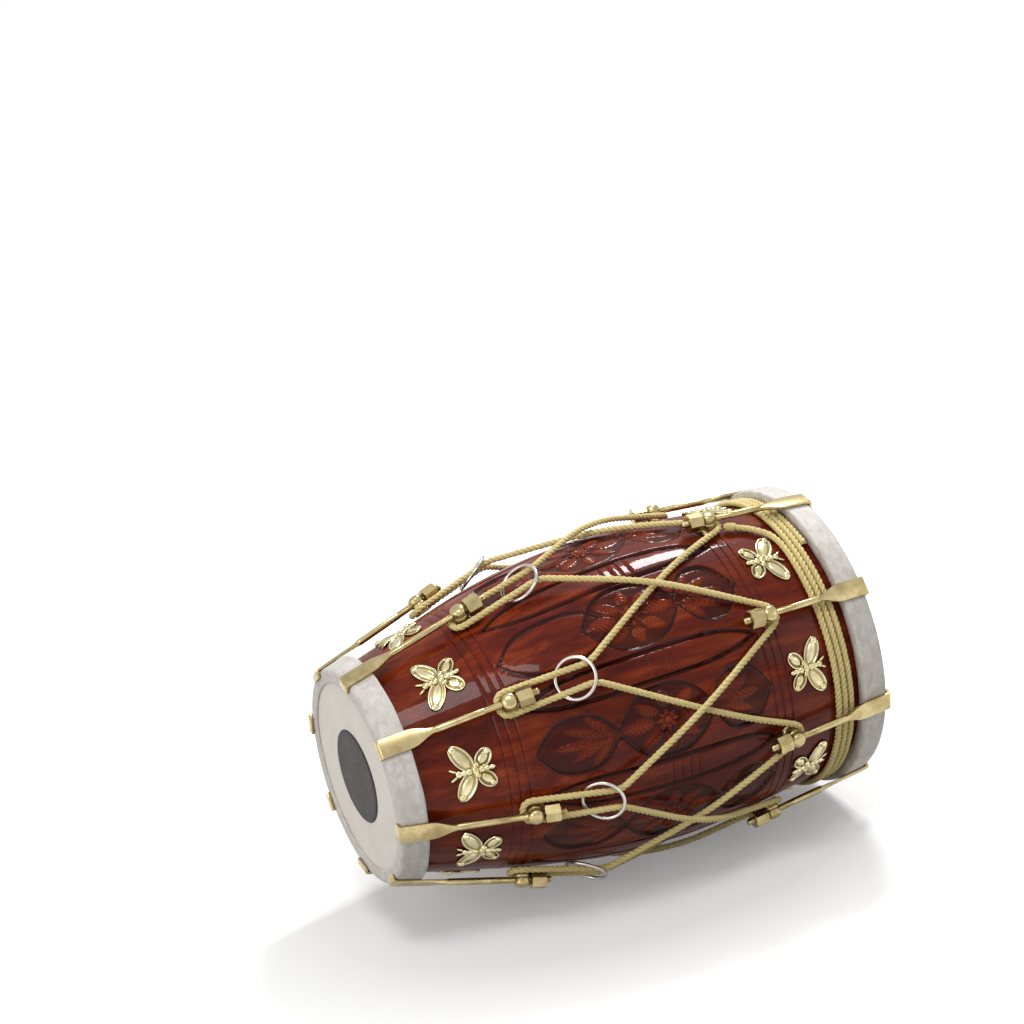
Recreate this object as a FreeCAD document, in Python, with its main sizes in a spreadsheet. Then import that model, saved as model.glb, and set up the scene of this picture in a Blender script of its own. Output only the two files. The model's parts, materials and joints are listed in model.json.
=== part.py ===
import FreeCAD, Part
import math
import os
import Sketcher
from types import SimpleNamespace

# A two-headed barrel hand drum. A hollow wooden barrel, widest past its middle, carries a narrow head and a
# wide head. Eight hooks pull each head's lapped collar inwards. Each hook's threaded rod passes through a turned
# brass saddle and its nut, and two zigzag ropes join the saddles of the two ends. A ring gathers each pair of
# rope strands near the narrow head. A spare length of rope is wound round the barrel beside the wide head.
#
# The drum's own frame has X along its axis, from the narrow head's face to the wide head's face. An end's frame
# has X from that head's face into the drum and Z away from the axis. The finished drum lies as at rest on a table.

# Driving sizes in millimetres, with angles in degrees
SIZES = {
    "drum_length": 442.0,
    "rest_roll": 9.89,
    "rest_tilt": 0.92,
    # Barrel
    "belly_rise": 13.8,
    "shell_wall": 10.0,
    "neck_length": 22.0,
    "mouth_inset": 3.3,
    "small_neck_radius": 86.0,
    "large_neck_radius": 117.7,
    "shoulder_step": 5.5,
    "small_line_before": 13.0,
    "large_line_before": 5.0,
    "line_spacing": 8.0,
    "line_radius": 0.9,
    # Heads
    "skin_thickness": 1.2,
    "skin_skirt": 16.0,
    "seat_play": 0.1,
    "hoop_wire": 1.9,
    "hoop_station": 9.0,
    "collar_width": 23.0,
    "collar_flange": 1.8,
    "collar_lap": 4.0,
    "small_collar_wall": 2.5,
    "large_collar_wall": 10.3,
    "collar_play": 0.3,
    "patch_radius": 41.0,
    "patch_thickness": 1.2,
    "paste_radius": 50.0,
    "paste_thickness": 3.0,
    # Tuning hooks and nuts
    "small_hook_slope": 16.8,
    "large_hook_slope": 5.0,
    "contact_gap": 0.3,
    "strap_thickness": 2.5,
    "strap_width": 16.0,
    "strap_length": 30.0,
    "strap_taper": 16.0,
    "lip_reach": 7.0,
    "rod_radius": 3.0,
    "rod_overhang": 26.0,
    "bore_play": 0.05,
    "nut_flats": 14.0,
    "nut_length": 13.0,
    "nut_chamfer": 1.2,
    # Saddles
    "small_saddle_station": 106.0,
    "large_saddle_station": 97.0,
    "saddle_waist": 6.8,
    "saddle_barrel": 7.0,
    "saddle_flange": 8.5,
    "saddle_foot": 11.0,
    "saddle_rim": 0.8,
    "saddle_crown": 6.6,
    "saddle_cap": 4.2,
    # Ropes
    "rope_radius": 3.0,
    "rope_drop": 6.8,
    "rope_play": 0.2,
    "splice_gap": 0.3,
    "ring_beyond": 72.0,
    "ring_lift": 9.6,
    "strand_spread": 8.5,
    "strand_bend": 30.0,
    "under_lift": 2.4,
    "over_lift": 12.4,
    "hug_inset": 139.0,
    "hug_lift": 1.2,
    "winding_inset": 47.0,
    "winding_gap": 0.45,
    "lead_1_inset": 84.5,
    "lead_1_lift": 2.4,
    "lead_2_inset": 74.5,
    "lead_2_lift": 1.4,
    "lead_3_inset": 61.5,
    "lead_3_lift": 0.9,
    "lead_4_inset": 50.2,
    "lead_4_lift": 0.8,
    # Tension rings
    "ring_radius": 17.5,
    "ring_wire": 1.5,
    "ring_tilt": 19.5,
    "ring_ahead": 15.5,
    # Butterfly ornaments
    "small_ornament_station": 68.0,
    "large_ornament_station": 73.0,
    "ornament_thickness": 2.0,
    "ornament_band": 42.0,
    "fore_wing_radius": 9.5,
    "fore_wing_ahead": 7.0,
    "fore_wing_aside": 10.5,
    "hind_wing_radius": 7.0,
    "hind_wing_behind": 8.0,
    "hind_wing_aside": 8.0,
    "butterfly_body_length": 30.0,
    "butterfly_body_width": 5.0,
}

LINES = 8
LINE_ANGLE = 360 / LINES
BELLY_SHARE = 0.597285
CURVE_SHARE = 1.4654
CROSSING_SHARE = 0.5
HUG_SHARE = 0.715
CROSSING_STATION_SHARE = 0.487
RUN_SHARE = 0.45
WINDING_TURNS = 3
POINTS_PER_EDGE = 12
WINDING_START = 20.0
# Angles from the top of the four points that lead the winding down to the barrel
LEAD_ANGLES = (2.6, 3.8, 7.0, 12.0)

doc = FreeCAD.newDocument("Drum")
sheet = doc.addObject("Spreadsheet::Sheet", "Sizes")
for row, (alias, number) in enumerate(SIZES.items(), 1):
    sheet.set(f"A{row}", alias)
    sheet.set(f"B{row}", str(number))
    sheet.setAlias(f"B{row}", alias)
doc.recompute()


# Sizes that stay bound to the sheet
class Size:
    """A number with the sheet expression that gives it. Sums of sizes keep both."""

    def __init__(self, value, text):
        self.value = value
        self.text = text

    def __add__(self, other):
        return Size(self.value + as_size(other).value, f"({self.text} + {as_size(other).text})")

    def __sub__(self, other):
        return Size(self.value - as_size(other).value, f"({self.text} - {as_size(other).text})")

    def __mul__(self, other):
        return Size(self.value * as_size(other).value, f"({self.text} * {as_size(other).text})")

    def __truediv__(self, other):
        return Size(self.value / as_size(other).value, f"({self.text} / {as_size(other).text})")

    def __neg__(self):
        return Size(-self.value, f"(0 - {self.text})")


def as_size(thing):
    return thing if isinstance(thing, Size) else Size(thing, f"({thing})")


def sine(angle):
    return Size(math.sin(math.radians(angle.value)), f"sin({angle.text})")


def cosine(angle):
    return Size(math.cos(math.radians(angle.value)), f"cos({angle.text})")


def tangent(angle):
    return Size(math.tan(math.radians(angle.value)), f"tan({angle.text})")


def arc_sine(share):
    return Size(math.degrees(math.asin(share.value)), f"(asin({share.text}) / 1deg)")


def arc_tangent(share):
    return Size(math.degrees(math.atan(share.value)), f"(atan({share.text}) / 1deg)")


def root(square):
    return Size(math.sqrt(square.value), f"sqrt({square.text})")


S = SimpleNamespace(**{alias: Size(float(sheet.get(alias)), f"Sizes.{alias}") for alias in SIZES})
ZERO = as_size(0)


def of_end(end, name):
    """The size of that name for the small or the large end."""
    return getattr(S, f"{end}_{name}")


# Sizes that follow from the driving ones, each in a cell of its own
def derive(alias, size):
    row = len(vars(S)) + 1
    sheet.set(f"A{row}", alias)
    sheet.set(f"B{row}", "=" + size.text.replace("Sizes.", ""))
    sheet.setAlias(f"B{row}", alias)
    setattr(S, alias, Size(size.value, f"Sizes.{alias}"))


def curve_limit(end):
    """The largest belly curve that an end's straight flank can still run into."""
    across = S.belly_station - S.neck_length if end == "small" else S.drum_length - S.neck_length - S.belly_station
    drop = S.belly_radius - of_end(end, "shoulder_radius")
    return (across * across + drop * drop) / (drop * 2)


for end in ("small", "large"):
    derive(f"{end}_shoulder_radius", of_end(end, "neck_radius") + S.shoulder_step)
    derive(f"{end}_collar_radius", of_end(end, "shoulder_radius") + of_end(end, "collar_wall"))
derive("belly_radius", S.large_shoulder_radius + S.belly_rise)
derive("belly_station", S.drum_length * BELLY_SHARE)
for end in ("small", "large"):
    derive(f"{end}_curve_limit", curve_limit(end))
derive("belly_curve", S.small_curve_limit * S.large_curve_limit / (S.small_curve_limit + S.large_curve_limit) * CURVE_SHARE)
derive("small_line_inset", S.small_saddle_station - S.small_line_before)
derive("large_line_inset", S.large_saddle_station - S.large_line_before)
derive("ring_station", S.small_saddle_station + S.ring_beyond)
derive("hug_station", S.drum_length - S.hug_inset)
derive("winding_station", S.drum_length - S.winding_inset)
derive("winding_pitch", S.rope_radius * 2 + S.winding_gap)
doc.recompute()


def cone_angle(end):
    """How steeply the barrel rises from one end's shoulder until it meets the belly's arc."""
    station = S.neck_length if end == "small" else S.drum_length - S.neck_length
    across = S.belly_station - station if end == "small" else station - S.belly_station
    height = of_end(end, "shoulder_radius") + S.belly_curve - S.belly_radius
    reach = root(across * across + height * height)
    return arc_sine(S.belly_curve / reach) - arc_tangent(height / across)


def cone_radius(end, station):
    """The barrel's outer radius on an end's straight flank, at a distance from that end's face."""
    return of_end(end, "shoulder_radius") + tangent(cone_angle(end)) * (station - S.neck_length)


def belly_radius_at(station):
    """The barrel's outer radius on the belly's arc, at a distance along the drum."""
    away = station - S.belly_station
    return S.belly_radius - S.belly_curve + root(S.belly_curve * S.belly_curve - away * away)


def shell_radius(along):
    """The barrel's outer radius in millimetres anywhere between its shoulders."""
    left = S.belly_station.value - S.belly_curve.value * sine(cone_angle("small")).value
    right = S.belly_station.value + S.belly_curve.value * sine(cone_angle("large")).value
    if along < left:
        return cone_radius("small", as_size(along)).value
    if along > right:
        return cone_radius("large", as_size(S.drum_length.value - along)).value
    return belly_radius_at(as_size(along)).value


def rod_start_radius(end):
    """Where a hook rod's axis, run on to the head's face, lies from the drum's axis."""
    rise = (S.contact_gap + S.strap_thickness / 2) / cosine(of_end(end, "hook_slope"))
    return of_end(end, "collar_radius") + rise


def saddle_distance(end):
    """How far along the rod the saddle's axis lies from the head's face."""
    return of_end(end, "saddle_station") / cosine(of_end(end, "hook_slope"))


SKIN_FACE = S.mouth_inset - S.seat_play - S.skin_thickness
ROD_TIP = {end: saddle_distance(end) + S.rod_overhang for end in ("small", "large")}
NUT_START = S.saddle_barrel + S.contact_gap
ROPE_BEND = S.saddle_waist + S.rope_play + S.rope_radius


# Places
def vector(*places):
    return FreeCAD.Vector(*[as_size(place).value for place in places])


def turned(axis, angle):
    return FreeCAD.Placement(FreeCAD.Vector(), FreeCAD.Rotation(FreeCAD.Vector(*axis), angle))


def moved(*places):
    return FreeCAD.Placement(vector(*places), FreeCAD.Rotation())


def end_frame(end, angle):
    """An end's frame, turned about the drum's axis by an angle from the top."""
    if end == "small":
        return turned((1, 0, 0), angle)
    return turned((1, 0, 0), angle) * moved(S.drum_length, 0, 0) * turned((0, 0, 1), 180)


def rod_frame(end, angle, along):
    """The frame of one hook rod: X along the rod into the drum, Z outwards, at a distance along the rod."""
    slope = turned((0, 1, 0), -of_end(end, "hook_slope").value)
    return end_frame(end, angle) * moved(0, 0, rod_start_radius(end)) * slope * moved(along, 0, 0)


def on_drum(along, radius, angle):
    """A point in the drum's frame, at an angle from the top."""
    turn = math.radians(angle)
    return FreeCAD.Vector(along, -radius * math.sin(turn), radius * math.cos(turn))


# Building blocks
pieces = {}


def keep(name, thing, placement):
    """Register a document object as one node of the part, with its place in the drum's frame."""
    thing.Label = name
    pieces[name] = (thing, placement)
    return thing


def body_named(name):
    return doc.addObject("PartDesign::Body", name)


def plane_sketch(body, name, role):
    sketch = body.newObject("Sketcher::SketchObject", name)
    plane = [feature for feature in body.Origin.OriginFeatures if feature.Role == role][0]
    sketch.AttachmentSupport = [(plane, "")]
    sketch.MapMode = "FlatFace"
    return sketch


def pin_point(sketch, edge, end, place):
    """Fix a point of a sketch at two sizes measured from the sketch's origin."""
    for kind, axis, size in zip(("DistanceX", "DistanceY"), (-2, -1), place):
        if abs(size.value) < 1e-9:
            sketch.addConstraint(Sketcher.Constraint("PointOnObject", edge, end, axis))
        elif size.value > 0:
            index = sketch.addConstraint(Sketcher.Constraint(kind, -1, 1, edge, end, size.value))
            sketch.setExpression(f"Constraints[{index}]", size.text)
        else:
            index = sketch.addConstraint(Sketcher.Constraint(kind, edge, end, -1, 1, -size.value))
            sketch.setExpression(f"Constraints[{index}]", (-size).text)


def draw_outline(sketch, corners):
    """A closed outline of straight edges through corners given as pairs of sizes."""
    corners = [tuple(as_size(place) for place in corner) for corner in corners]
    count = len(corners)
    for index in range(count):
        ends = [vector(*corners[index], 0), vector(*corners[(index + 1) % count], 0)]
        sketch.addGeometry(Part.LineSegment(*ends), False)
    for index in range(count):
        sketch.addConstraint(Sketcher.Constraint("Coincident", index, 2, (index + 1) % count, 1))
        pin_point(sketch, index, 1, corners[index])


def draw_circle(sketch, centre, radius):
    """A circle fixed by its centre and its radius."""
    edge = sketch.addGeometry(Part.Circle(vector(*centre, 0), vector(0, 0, 1), radius.value), False)
    pin_point(sketch, edge, 3, tuple(as_size(place) for place in centre))
    index = sketch.addConstraint(Sketcher.Constraint("Radius", edge, radius.value))
    sketch.setExpression(f"Constraints[{index}]", radius.text)


def revolve(body, sketch, kind="PartDesign::Revolution", axis="H_Axis"):
    feature = body.newObject(kind, "Turned")
    feature.Profile = sketch
    feature.ReferenceAxis = (sketch, [axis])
    feature.Angle = 360
    return feature


def turned_piece(name, end, corners):
    """A ring or disc turned about the drum's axis, drawn in an end's frame."""
    body = body_named(name)
    sketch = plane_sketch(body, "Section", "XZ_Plane")
    draw_outline(sketch, corners)
    revolve(body, sketch)
    return keep(name, body, end_frame(end, 0))


def pad(body, sketch, length, symmetric=True):
    feature = body.newObject("PartDesign::Pad", "Pad")
    feature.Profile = sketch
    feature.SideType = "Symmetric" if symmetric else "One side"
    feature.setExpression("Length", length.text)
    return feature


def round_bar(body, kind, placement, **sizes):
    """A cylinder or cone along the body's X axis from a starting point, added or cut."""
    feature = body.newObject(f"PartDesign::{kind}", kind)
    for name, size in sizes.items():
        feature.setExpression(name, size.text)
    feature.Placement = placement * turned((0, 1, 0), 90)
    return feature


def copy_of(master, name, placement):
    """A second piece of the same shape in its own node."""
    piece = doc.addObject("Part::Feature", name)
    shape = master.Shape.copy()
    shape.Placement = FreeCAD.Placement()
    piece.Shape = shape
    return keep(name, piece, placement)


def group_of(master, name, placements):
    """Identical pieces that share one node, each its own solid."""
    shapes = []
    for placement in placements:
        shape = master.Shape.copy()
        shape.Placement = placement
        shapes.append(shape)
    piece = doc.addObject("Part::Feature", name)
    piece.Shape = Part.makeCompound(shapes)
    return keep(name, piece, FreeCAD.Placement())


# Barrel
def flank(sketch, outer, arc, arc_end, place, other_end):
    """A straight flank that starts at a fixed point and runs tangent to an arc."""
    sketch.addConstraint(Sketcher.Constraint("Tangent", outer, other_end, arc, arc_end))
    pin_point(sketch, outer, 3 - other_end, place)


def tangent_points(start, finish, curve):
    """Where lines from two points touch the belly's arc of a radius, in millimetres."""
    centre = (S.belly_station, S.belly_radius - S.belly_curve)
    touches = []
    for place, hand in ((start, -1), (finish, 1)):
        across = hand * (place[0].value - centre[0].value)
        height = place[1].value - centre[1].value
        slope = math.asin(curve.value / math.hypot(across, height)) - math.atan2(height, across)
        along = centre[0].value + hand * curve.value * math.sin(slope)
        touches.append(FreeCAD.Vector(along, centre[1].value + curve.value * math.cos(slope), 0))
    return centre, touches


def draw_barrel_side(sketch, start, finish, curve):
    """A line, the belly's arc and a line, tangent to each other, from one fixed point to another."""
    centre, (first, last) = tangent_points(start, finish, curve)
    circle = Part.Circle(vector(*centre, 0), vector(0, 0, 1), curve.value)
    low, high = circle.parameter(last), circle.parameter(first)
    edges = sketch.addGeometry([
        Part.LineSegment(vector(*start, 0), first),
        Part.ArcOfCircle(circle, low, high),
        Part.LineSegment(last, vector(*finish, 0)),
    ], False)
    up, arc, down = edges
    pin_point(sketch, arc, 3, centre)
    index = sketch.addConstraint(Sketcher.Constraint("Radius", arc, curve.value))
    sketch.setExpression(f"Constraints[{index}]", curve.text)
    flank(sketch, up, arc, 2, start, 2)
    flank(sketch, down, arc, 1, finish, 1)
    return up, down


def make_shell():
    body = body_named("shell")
    sketch = plane_sketch(body, "Section", "XZ_Plane")
    far_mouth = S.drum_length - S.mouth_inset
    far_shoulder = S.drum_length - S.neck_length
    small_out = (S.neck_length, S.small_shoulder_radius)
    large_out = (far_shoulder, S.large_shoulder_radius)
    small_in = (S.mouth_inset, S.small_neck_radius - S.shell_wall)
    large_in = (far_mouth, S.large_neck_radius - S.shell_wall)
    out_up, out_down = draw_barrel_side(sketch, small_out, large_out, S.belly_curve)
    in_up, in_down = draw_barrel_side(sketch, small_in, large_in, S.belly_curve - S.shell_wall)
    small_step = [(S.mouth_inset, S.small_neck_radius), (S.neck_length, S.small_neck_radius)]
    large_step = [(far_shoulder, S.large_neck_radius), (far_mouth, S.large_neck_radius)]
    chains = (
        ([small_in] + small_step + [small_out], in_up, 1, out_up, 1),
        ([large_out] + large_step + [large_in], out_down, 2, in_down, 2),
    )
    for corners, first, first_end, last, last_end in chains:
        edges = [sketch.addGeometry(Part.LineSegment(vector(*a, 0), vector(*b, 0)), False)
                 for a, b in zip(corners, corners[1:])]
        sketch.addConstraint(Sketcher.Constraint("Coincident", first, first_end, edges[0], 1))
        for before, after, corner in zip(edges, edges[1:], corners[1:]):
            sketch.addConstraint(Sketcher.Constraint("Coincident", before, 2, after, 1))
            pin_point(sketch, before, 2, corner)
        sketch.addConstraint(Sketcher.Constraint("Coincident", edges[-1], 2, last, last_end))
    revolve(body, sketch)
    incised = plane_sketch(body, "IncisedLines", "XZ_Plane")
    for end in ("small", "large"):
        for step in range(3):
            inset = of_end(end, "line_inset") + S.line_spacing * step
            place = inset if end == "small" else S.drum_length - inset
            draw_circle(incised, (place, cone_radius(end, inset)), S.line_radius)
    revolve(body, incised, "PartDesign::Groove")
    return keep("shell", body, FreeCAD.Placement())


# Heads
def make_head(end):
    neck = of_end(end, "neck_radius") + S.seat_play
    skirt = neck + S.skin_thickness
    inner = of_end(end, "shoulder_radius") + S.collar_play
    outer = of_end(end, "collar_radius")
    back = outer + tangent(of_end(end, "hook_slope")) * S.collar_width
    lap = neck - S.collar_lap
    under = S.mouth_inset - S.seat_play
    turned_piece(f"{end}_head_skin", end, [
        (SKIN_FACE, ZERO), (SKIN_FACE, skirt), (S.skin_skirt, skirt),
        (S.skin_skirt, neck), (under, neck), (under, ZERO)])
    turned_piece(f"{end}_collar", end, [
        (ZERO, lap), (ZERO, outer), (S.collar_width, back),
        (S.collar_width, inner), (S.collar_flange, inner), (S.collar_flange, lap)])
    hoop = body_named(f"{end}_hoop")
    sketch = plane_sketch(hoop, "Section", "XZ_Plane")
    draw_circle(sketch, (S.hoop_station, (skirt + inner) / 2), S.hoop_wire)
    revolve(hoop, sketch)
    keep(f"{end}_hoop", hoop, end_frame(end, 0))


def make_patches():
    front = SKIN_FACE - S.patch_thickness
    turned_piece("tuning_patch", "small", [
        (front, ZERO), (front, S.patch_radius - S.patch_thickness), (SKIN_FACE, S.patch_radius), (SKIN_FACE, ZERO)])
    under = S.mouth_inset - S.seat_play
    back = under + S.paste_thickness
    turned_piece("bass_paste", "large", [
        (under, ZERO), (under, S.paste_radius), (back, S.paste_radius - S.paste_thickness), (back, ZERO)])


# Tuning hooks, nuts and saddles
def make_hook(end, name):
    """A flat strap with a lip over the collar, tapering into a round rod."""
    slope = of_end(end, "hook_slope")
    half = S.strap_thickness / 2
    body = body_named(name)

    def in_rod_frame(along, out):
        return (along * cosine(slope) + out * sine(slope), out * cosine(slope) - along * sine(slope))

    back = -S.contact_gap
    front = back - S.strap_thickness
    low = -S.lip_reach

    def strap_top(along):
        return (half + along * sine(slope)) / cosine(slope)

    lip = plane_sketch(body, "Lip", "XZ_Plane")
    draw_outline(lip, [in_rod_frame(back, low), in_rod_frame(front, low),
                       in_rod_frame(front, strap_top(front)), in_rod_frame(back, strap_top(back))])
    pad(body, lip, S.strap_width)
    plan = plane_sketch(body, "Plan", "XY_Plane")
    start = (back - half) * cosine(slope)
    wide = S.strap_width / 2
    tip = S.strap_length + S.strap_taper
    draw_outline(plan, [(start, -wide), (S.strap_length, -wide), (tip, -S.rod_radius),
                        (tip, S.rod_radius), (S.strap_length, wide), (start, wide)])
    pad(body, plan, S.strap_thickness)
    round_bar(body, "AdditiveCone", moved(S.strap_length, 0, 0),
              Radius1=half / 2, Radius2=S.rod_radius, Height=S.strap_taper)
    round_bar(body, "AdditiveCylinder", moved(tip, 0, 0), Radius=S.rod_radius, Height=ROD_TIP[end] - tip)
    return keep(name, body, rod_frame(end, 0, 0))


def make_nut(name, end):
    """A hexagonal nut on the rod, with its corners turned off at both ends."""
    body = body_named(name)
    sketch = plane_sketch(body, "Hexagon", "YZ_Plane")
    corner = S.nut_flats / math.sqrt(3)
    points = [math.radians(60 * step) for step in range(6)]
    draw_outline(sketch, [(corner * math.cos(a), corner * math.sin(a)) for a in points])
    pad(body, sketch, S.nut_length, symmetric=False)
    chamfer = plane_sketch(body, "CornersOff", "XZ_Plane")
    flat = S.nut_flats / 2
    proud = flat + S.nut_chamfer * 2
    draw_outline(chamfer, [(ZERO, flat), (S.nut_chamfer, proud), (ZERO, proud)])
    revolve(body, chamfer, "PartDesign::Groove")
    far = plane_sketch(body, "FarCornersOff", "XZ_Plane")
    draw_outline(far, [(S.nut_length, flat), (S.nut_length - S.nut_chamfer, proud), (S.nut_length, proud)])
    revolve(body, far, "PartDesign::Groove")
    round_bar(body, "SubtractiveCylinder", FreeCAD.Placement(),
              Radius=S.rod_radius + S.bore_play, Height=S.nut_length)
    return keep(name, body, rod_frame(end, 0, saddle_distance(end) + NUT_START))


def make_saddle():
    """A turned brass saddle: a foot flange, a waist that the rope bears on, and a crowned barrel on the rod."""
    body = body_named("Saddle")
    sketch = plane_sketch(body, "Section", "XZ_Plane")
    foot = -S.saddle_foot
    rim = foot + S.saddle_rim
    shoulder = S.rope_radius - S.rope_drop
    draw_outline(sketch, [
        (ZERO, foot), (S.saddle_flange, foot), (S.saddle_flange, rim), (S.saddle_waist, rim + S.saddle_rim),
        (S.saddle_waist, shoulder), (S.saddle_barrel, shoulder + S.saddle_rim),
        (S.saddle_barrel, S.saddle_cap), (S.saddle_cap, S.saddle_crown), (ZERO, S.saddle_crown)])
    revolve(body, sketch, axis="V_Axis")
    bore = S.rod_radius + S.bore_play
    round_bar(body, "SubtractiveCylinder", moved(-S.saddle_flange, 0, 0),
              Radius=bore, Height=S.saddle_flange * 2)
    return body


def make_end_hardware(end):
    hook = make_hook(end, f"{end}_hook_1")
    nut = make_nut(f"{end}_nut_1", end)
    doc.recompute()
    for line in range(1, LINES):
        angle = line * LINE_ANGLE
        copy_of(hook, f"{end}_hook_{line + 1}", rod_frame(end, angle, 0))
        copy_of(nut, f"{end}_nut_{line + 1}", rod_frame(end, angle, saddle_distance(end) + NUT_START))


# Ropes
def rounded_path(route):
    """Straight runs between the route's points, with a tangent arc at each inner point.

    A route holds (point, radius) pairs. Where the radius is None the arc is as large as its two runs allow."""
    edges = []
    radii = []
    start = route[0][0]
    for (before, _), (corner, radius), (after, _) in zip(route, route[1:], route[2:]):
        back, ahead = before - corner, after - corner
        shorter = min(back.Length, ahead.Length)
        half = (math.pi - back.getAngle(ahead)) / 2
        back.normalize()
        ahead.normalize()
        if radius is None:
            radius = RUN_SHARE * shorter / math.tan(half)
        reach = min(radius * math.tan(half), shorter / 2)
        radius = reach / math.tan(half)
        inwards = back + ahead
        inwards.normalize()
        first = corner + back * reach
        last = corner + ahead * reach
        middle = corner + inwards * (radius / math.cos(half) - radius)
        if (first - start).Length > S.seat_play.value:
            edges.append(Part.LineSegment(start, first).toShape())
        else:
            first = start
        edges.append(Part.Arc(first, middle, last).toShape())
        radii.append(radius)
        start = last
    edges.append(Part.LineSegment(start, route[-1][0]).toShape())
    return edges, radii


def tube_along(edges, name):
    """A round rope swept along a path of lines and arcs, checked by its volume."""
    path = Part.Wire(edges)
    first = edges[0]
    start = first.valueAt(first.FirstParameter)
    direction = first.tangentAt(first.FirstParameter)
    section = Part.Wire([Part.makeCircle(S.rope_radius.value, start, direction)])
    solid = path.makePipeShell([section], True, False)
    expected = math.pi * S.rope_radius.value ** 2 * path.Length
    print(name, "length", round(path.Length, 1), "volume share", round(solid.Volume / expected, 5))
    return solid


def least_gap(edges):
    """The least gap between stretches of one rope that lie side by side, measured on points."""
    points = []
    travelled = 0
    for edge in edges:
        for share in range(POINTS_PER_EDGE):
            where = edge.FirstParameter + (edge.LastParameter - edge.FirstParameter) * share / POINTS_PER_EDGE
            points.append((travelled + edge.Length * share / POINTS_PER_EDGE, edge.valueAt(where)))
        travelled += edge.Length
    apart = S.rope_radius.value * 2 * math.pi
    distances = [(a - b).Length for i, (far, a) in enumerate(points) for near, b in points[:i] if far - near > apart]
    return min(distances) - 2 * S.rope_radius.value


def strand(line, side, over):
    """Rope points from a small saddle's ring to the large saddle one line on, to one side."""
    angle = line * LINE_ANGLE
    radius = S.rope_radius.value
    ring = S.ring_station.value
    ring_radius = shell_radius(ring) + radius + S.ring_lift.value
    spread = math.degrees(math.asin(S.strand_spread.value / ring_radius))
    far = S.drum_length.value - S.large_saddle_station.value
    crossing = ring + (far - ring) * CROSSING_STATION_SHARE
    lift = S.over_lift.value if over else S.under_lift.value
    points = [(ring, ring_radius, spread)]
    points.append((crossing, shell_radius(crossing) + radius + lift, LINE_ANGLE * CROSSING_SHARE))
    if not over:
        hug = S.hug_station.value
        points.append((hug, shell_radius(hug) + radius + S.hug_lift.value, LINE_ANGLE * HUG_SHARE))
    return [on_drum(along, out, angle + side * turn) for along, out, turn in points]


def saddle_corner(end, line, side, next_point):
    """The corner of the rope's turn round a saddle, on the side that leaves for the next point."""
    frame = rod_frame(end, line * LINE_ANGLE, saddle_distance(end))
    target = frame.inverse().multVec(next_point)
    bend = ROPE_BEND.value
    reach = math.hypot(target.x, target.y)
    touch = math.atan2(abs(target.y), target.x) + math.acos(bend / reach)
    aside = bend * math.tan((math.pi - touch) / 2)
    hand = -side if end == "small" else side
    return frame.multVec(FreeCAD.Vector(-bend, hand * aside, -S.rope_drop.value))


def make_lacing(name, first_line, over):
    """One zigzag rope through every second saddle at each end, spliced at a small saddle on the far side."""
    bend = ROPE_BEND.value
    route = []
    for step in range(0, LINES, 2):
        line = first_line + step
        out = strand(line, 1, over)
        back = strand(line + 2, -1, over)
        large = line + 1
        route += [(out[0], S.strand_bend.value)] + [(point, None) for point in out[1:]]
        route += [(saddle_corner("large", large, -1, out[-1]), bend),
                  (saddle_corner("large", large, 1, back[-1]), bend)]
        route += [(point, None) for point in reversed(back[1:])] + [(back[0], S.strand_bend.value)]
        route += [(saddle_corner("small", line + 2, -1, back[0]), bend),
                  (saddle_corner("small", line + 2, 1, strand(line + 2, 1, over)[0]), bend)]
    last_corner, ring = route[-1][0], route[0][0]
    splice = (last_corner + ring) * 0.5
    onward = ring - last_corner
    onward.normalize()
    route = [(splice + onward * S.splice_gap.value, None)] + route + [(splice, None)]
    edges, radii = rounded_path(route)
    print(name, "radii", sorted({round(radius, 1) for radius in radii}))
    piece = doc.addObject("Part::Feature", name)
    piece.Shape = tube_along(edges, name)
    return keep(name, piece, FreeCAD.Placement())


def biarc(start, start_way, end, end_way):
    """Two arcs, tangent to each other, from one point and direction to another."""
    across = end - start
    ways = start_way + end_way
    square = ways.dot(ways) - 4
    linear = across.dot(ways)
    reach = (linear - math.sqrt(linear ** 2 - square * across.dot(across))) / square
    first = start + start_way * reach
    last = end - end_way * reach
    joint = (first + last) * 0.5
    edges = []
    for a, control, b in ((start, first, joint), (joint, last, end)):
        weight = (b - a).Length / 2 / reach
        middle = (a + control * (2 * weight) + b) * (1 / (2 + 2 * weight))
        edges.append(Part.Arc(a, middle, b).toShape())
    return edges


def winding_point(turn):
    """A point of the winding's centre line, and its direction, after a number of turns."""
    place = S.winding_station.value + S.winding_pitch.value * turn
    angle = WINDING_START + 360 * turn
    out = shell_radius(place) + S.rope_radius.value + S.rope_play.value
    slope = -math.tan(math.radians(cone_angle("large").value))
    forward = FreeCAD.Vector(S.winding_pitch.value, 0, 0)
    outward = on_drum(0, S.winding_pitch.value * slope, angle)
    round_way = on_drum(0, 2 * math.pi * out, angle + 90)
    way = forward + outward + round_way
    way.normalize()
    return on_drum(place, out, angle), way


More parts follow.
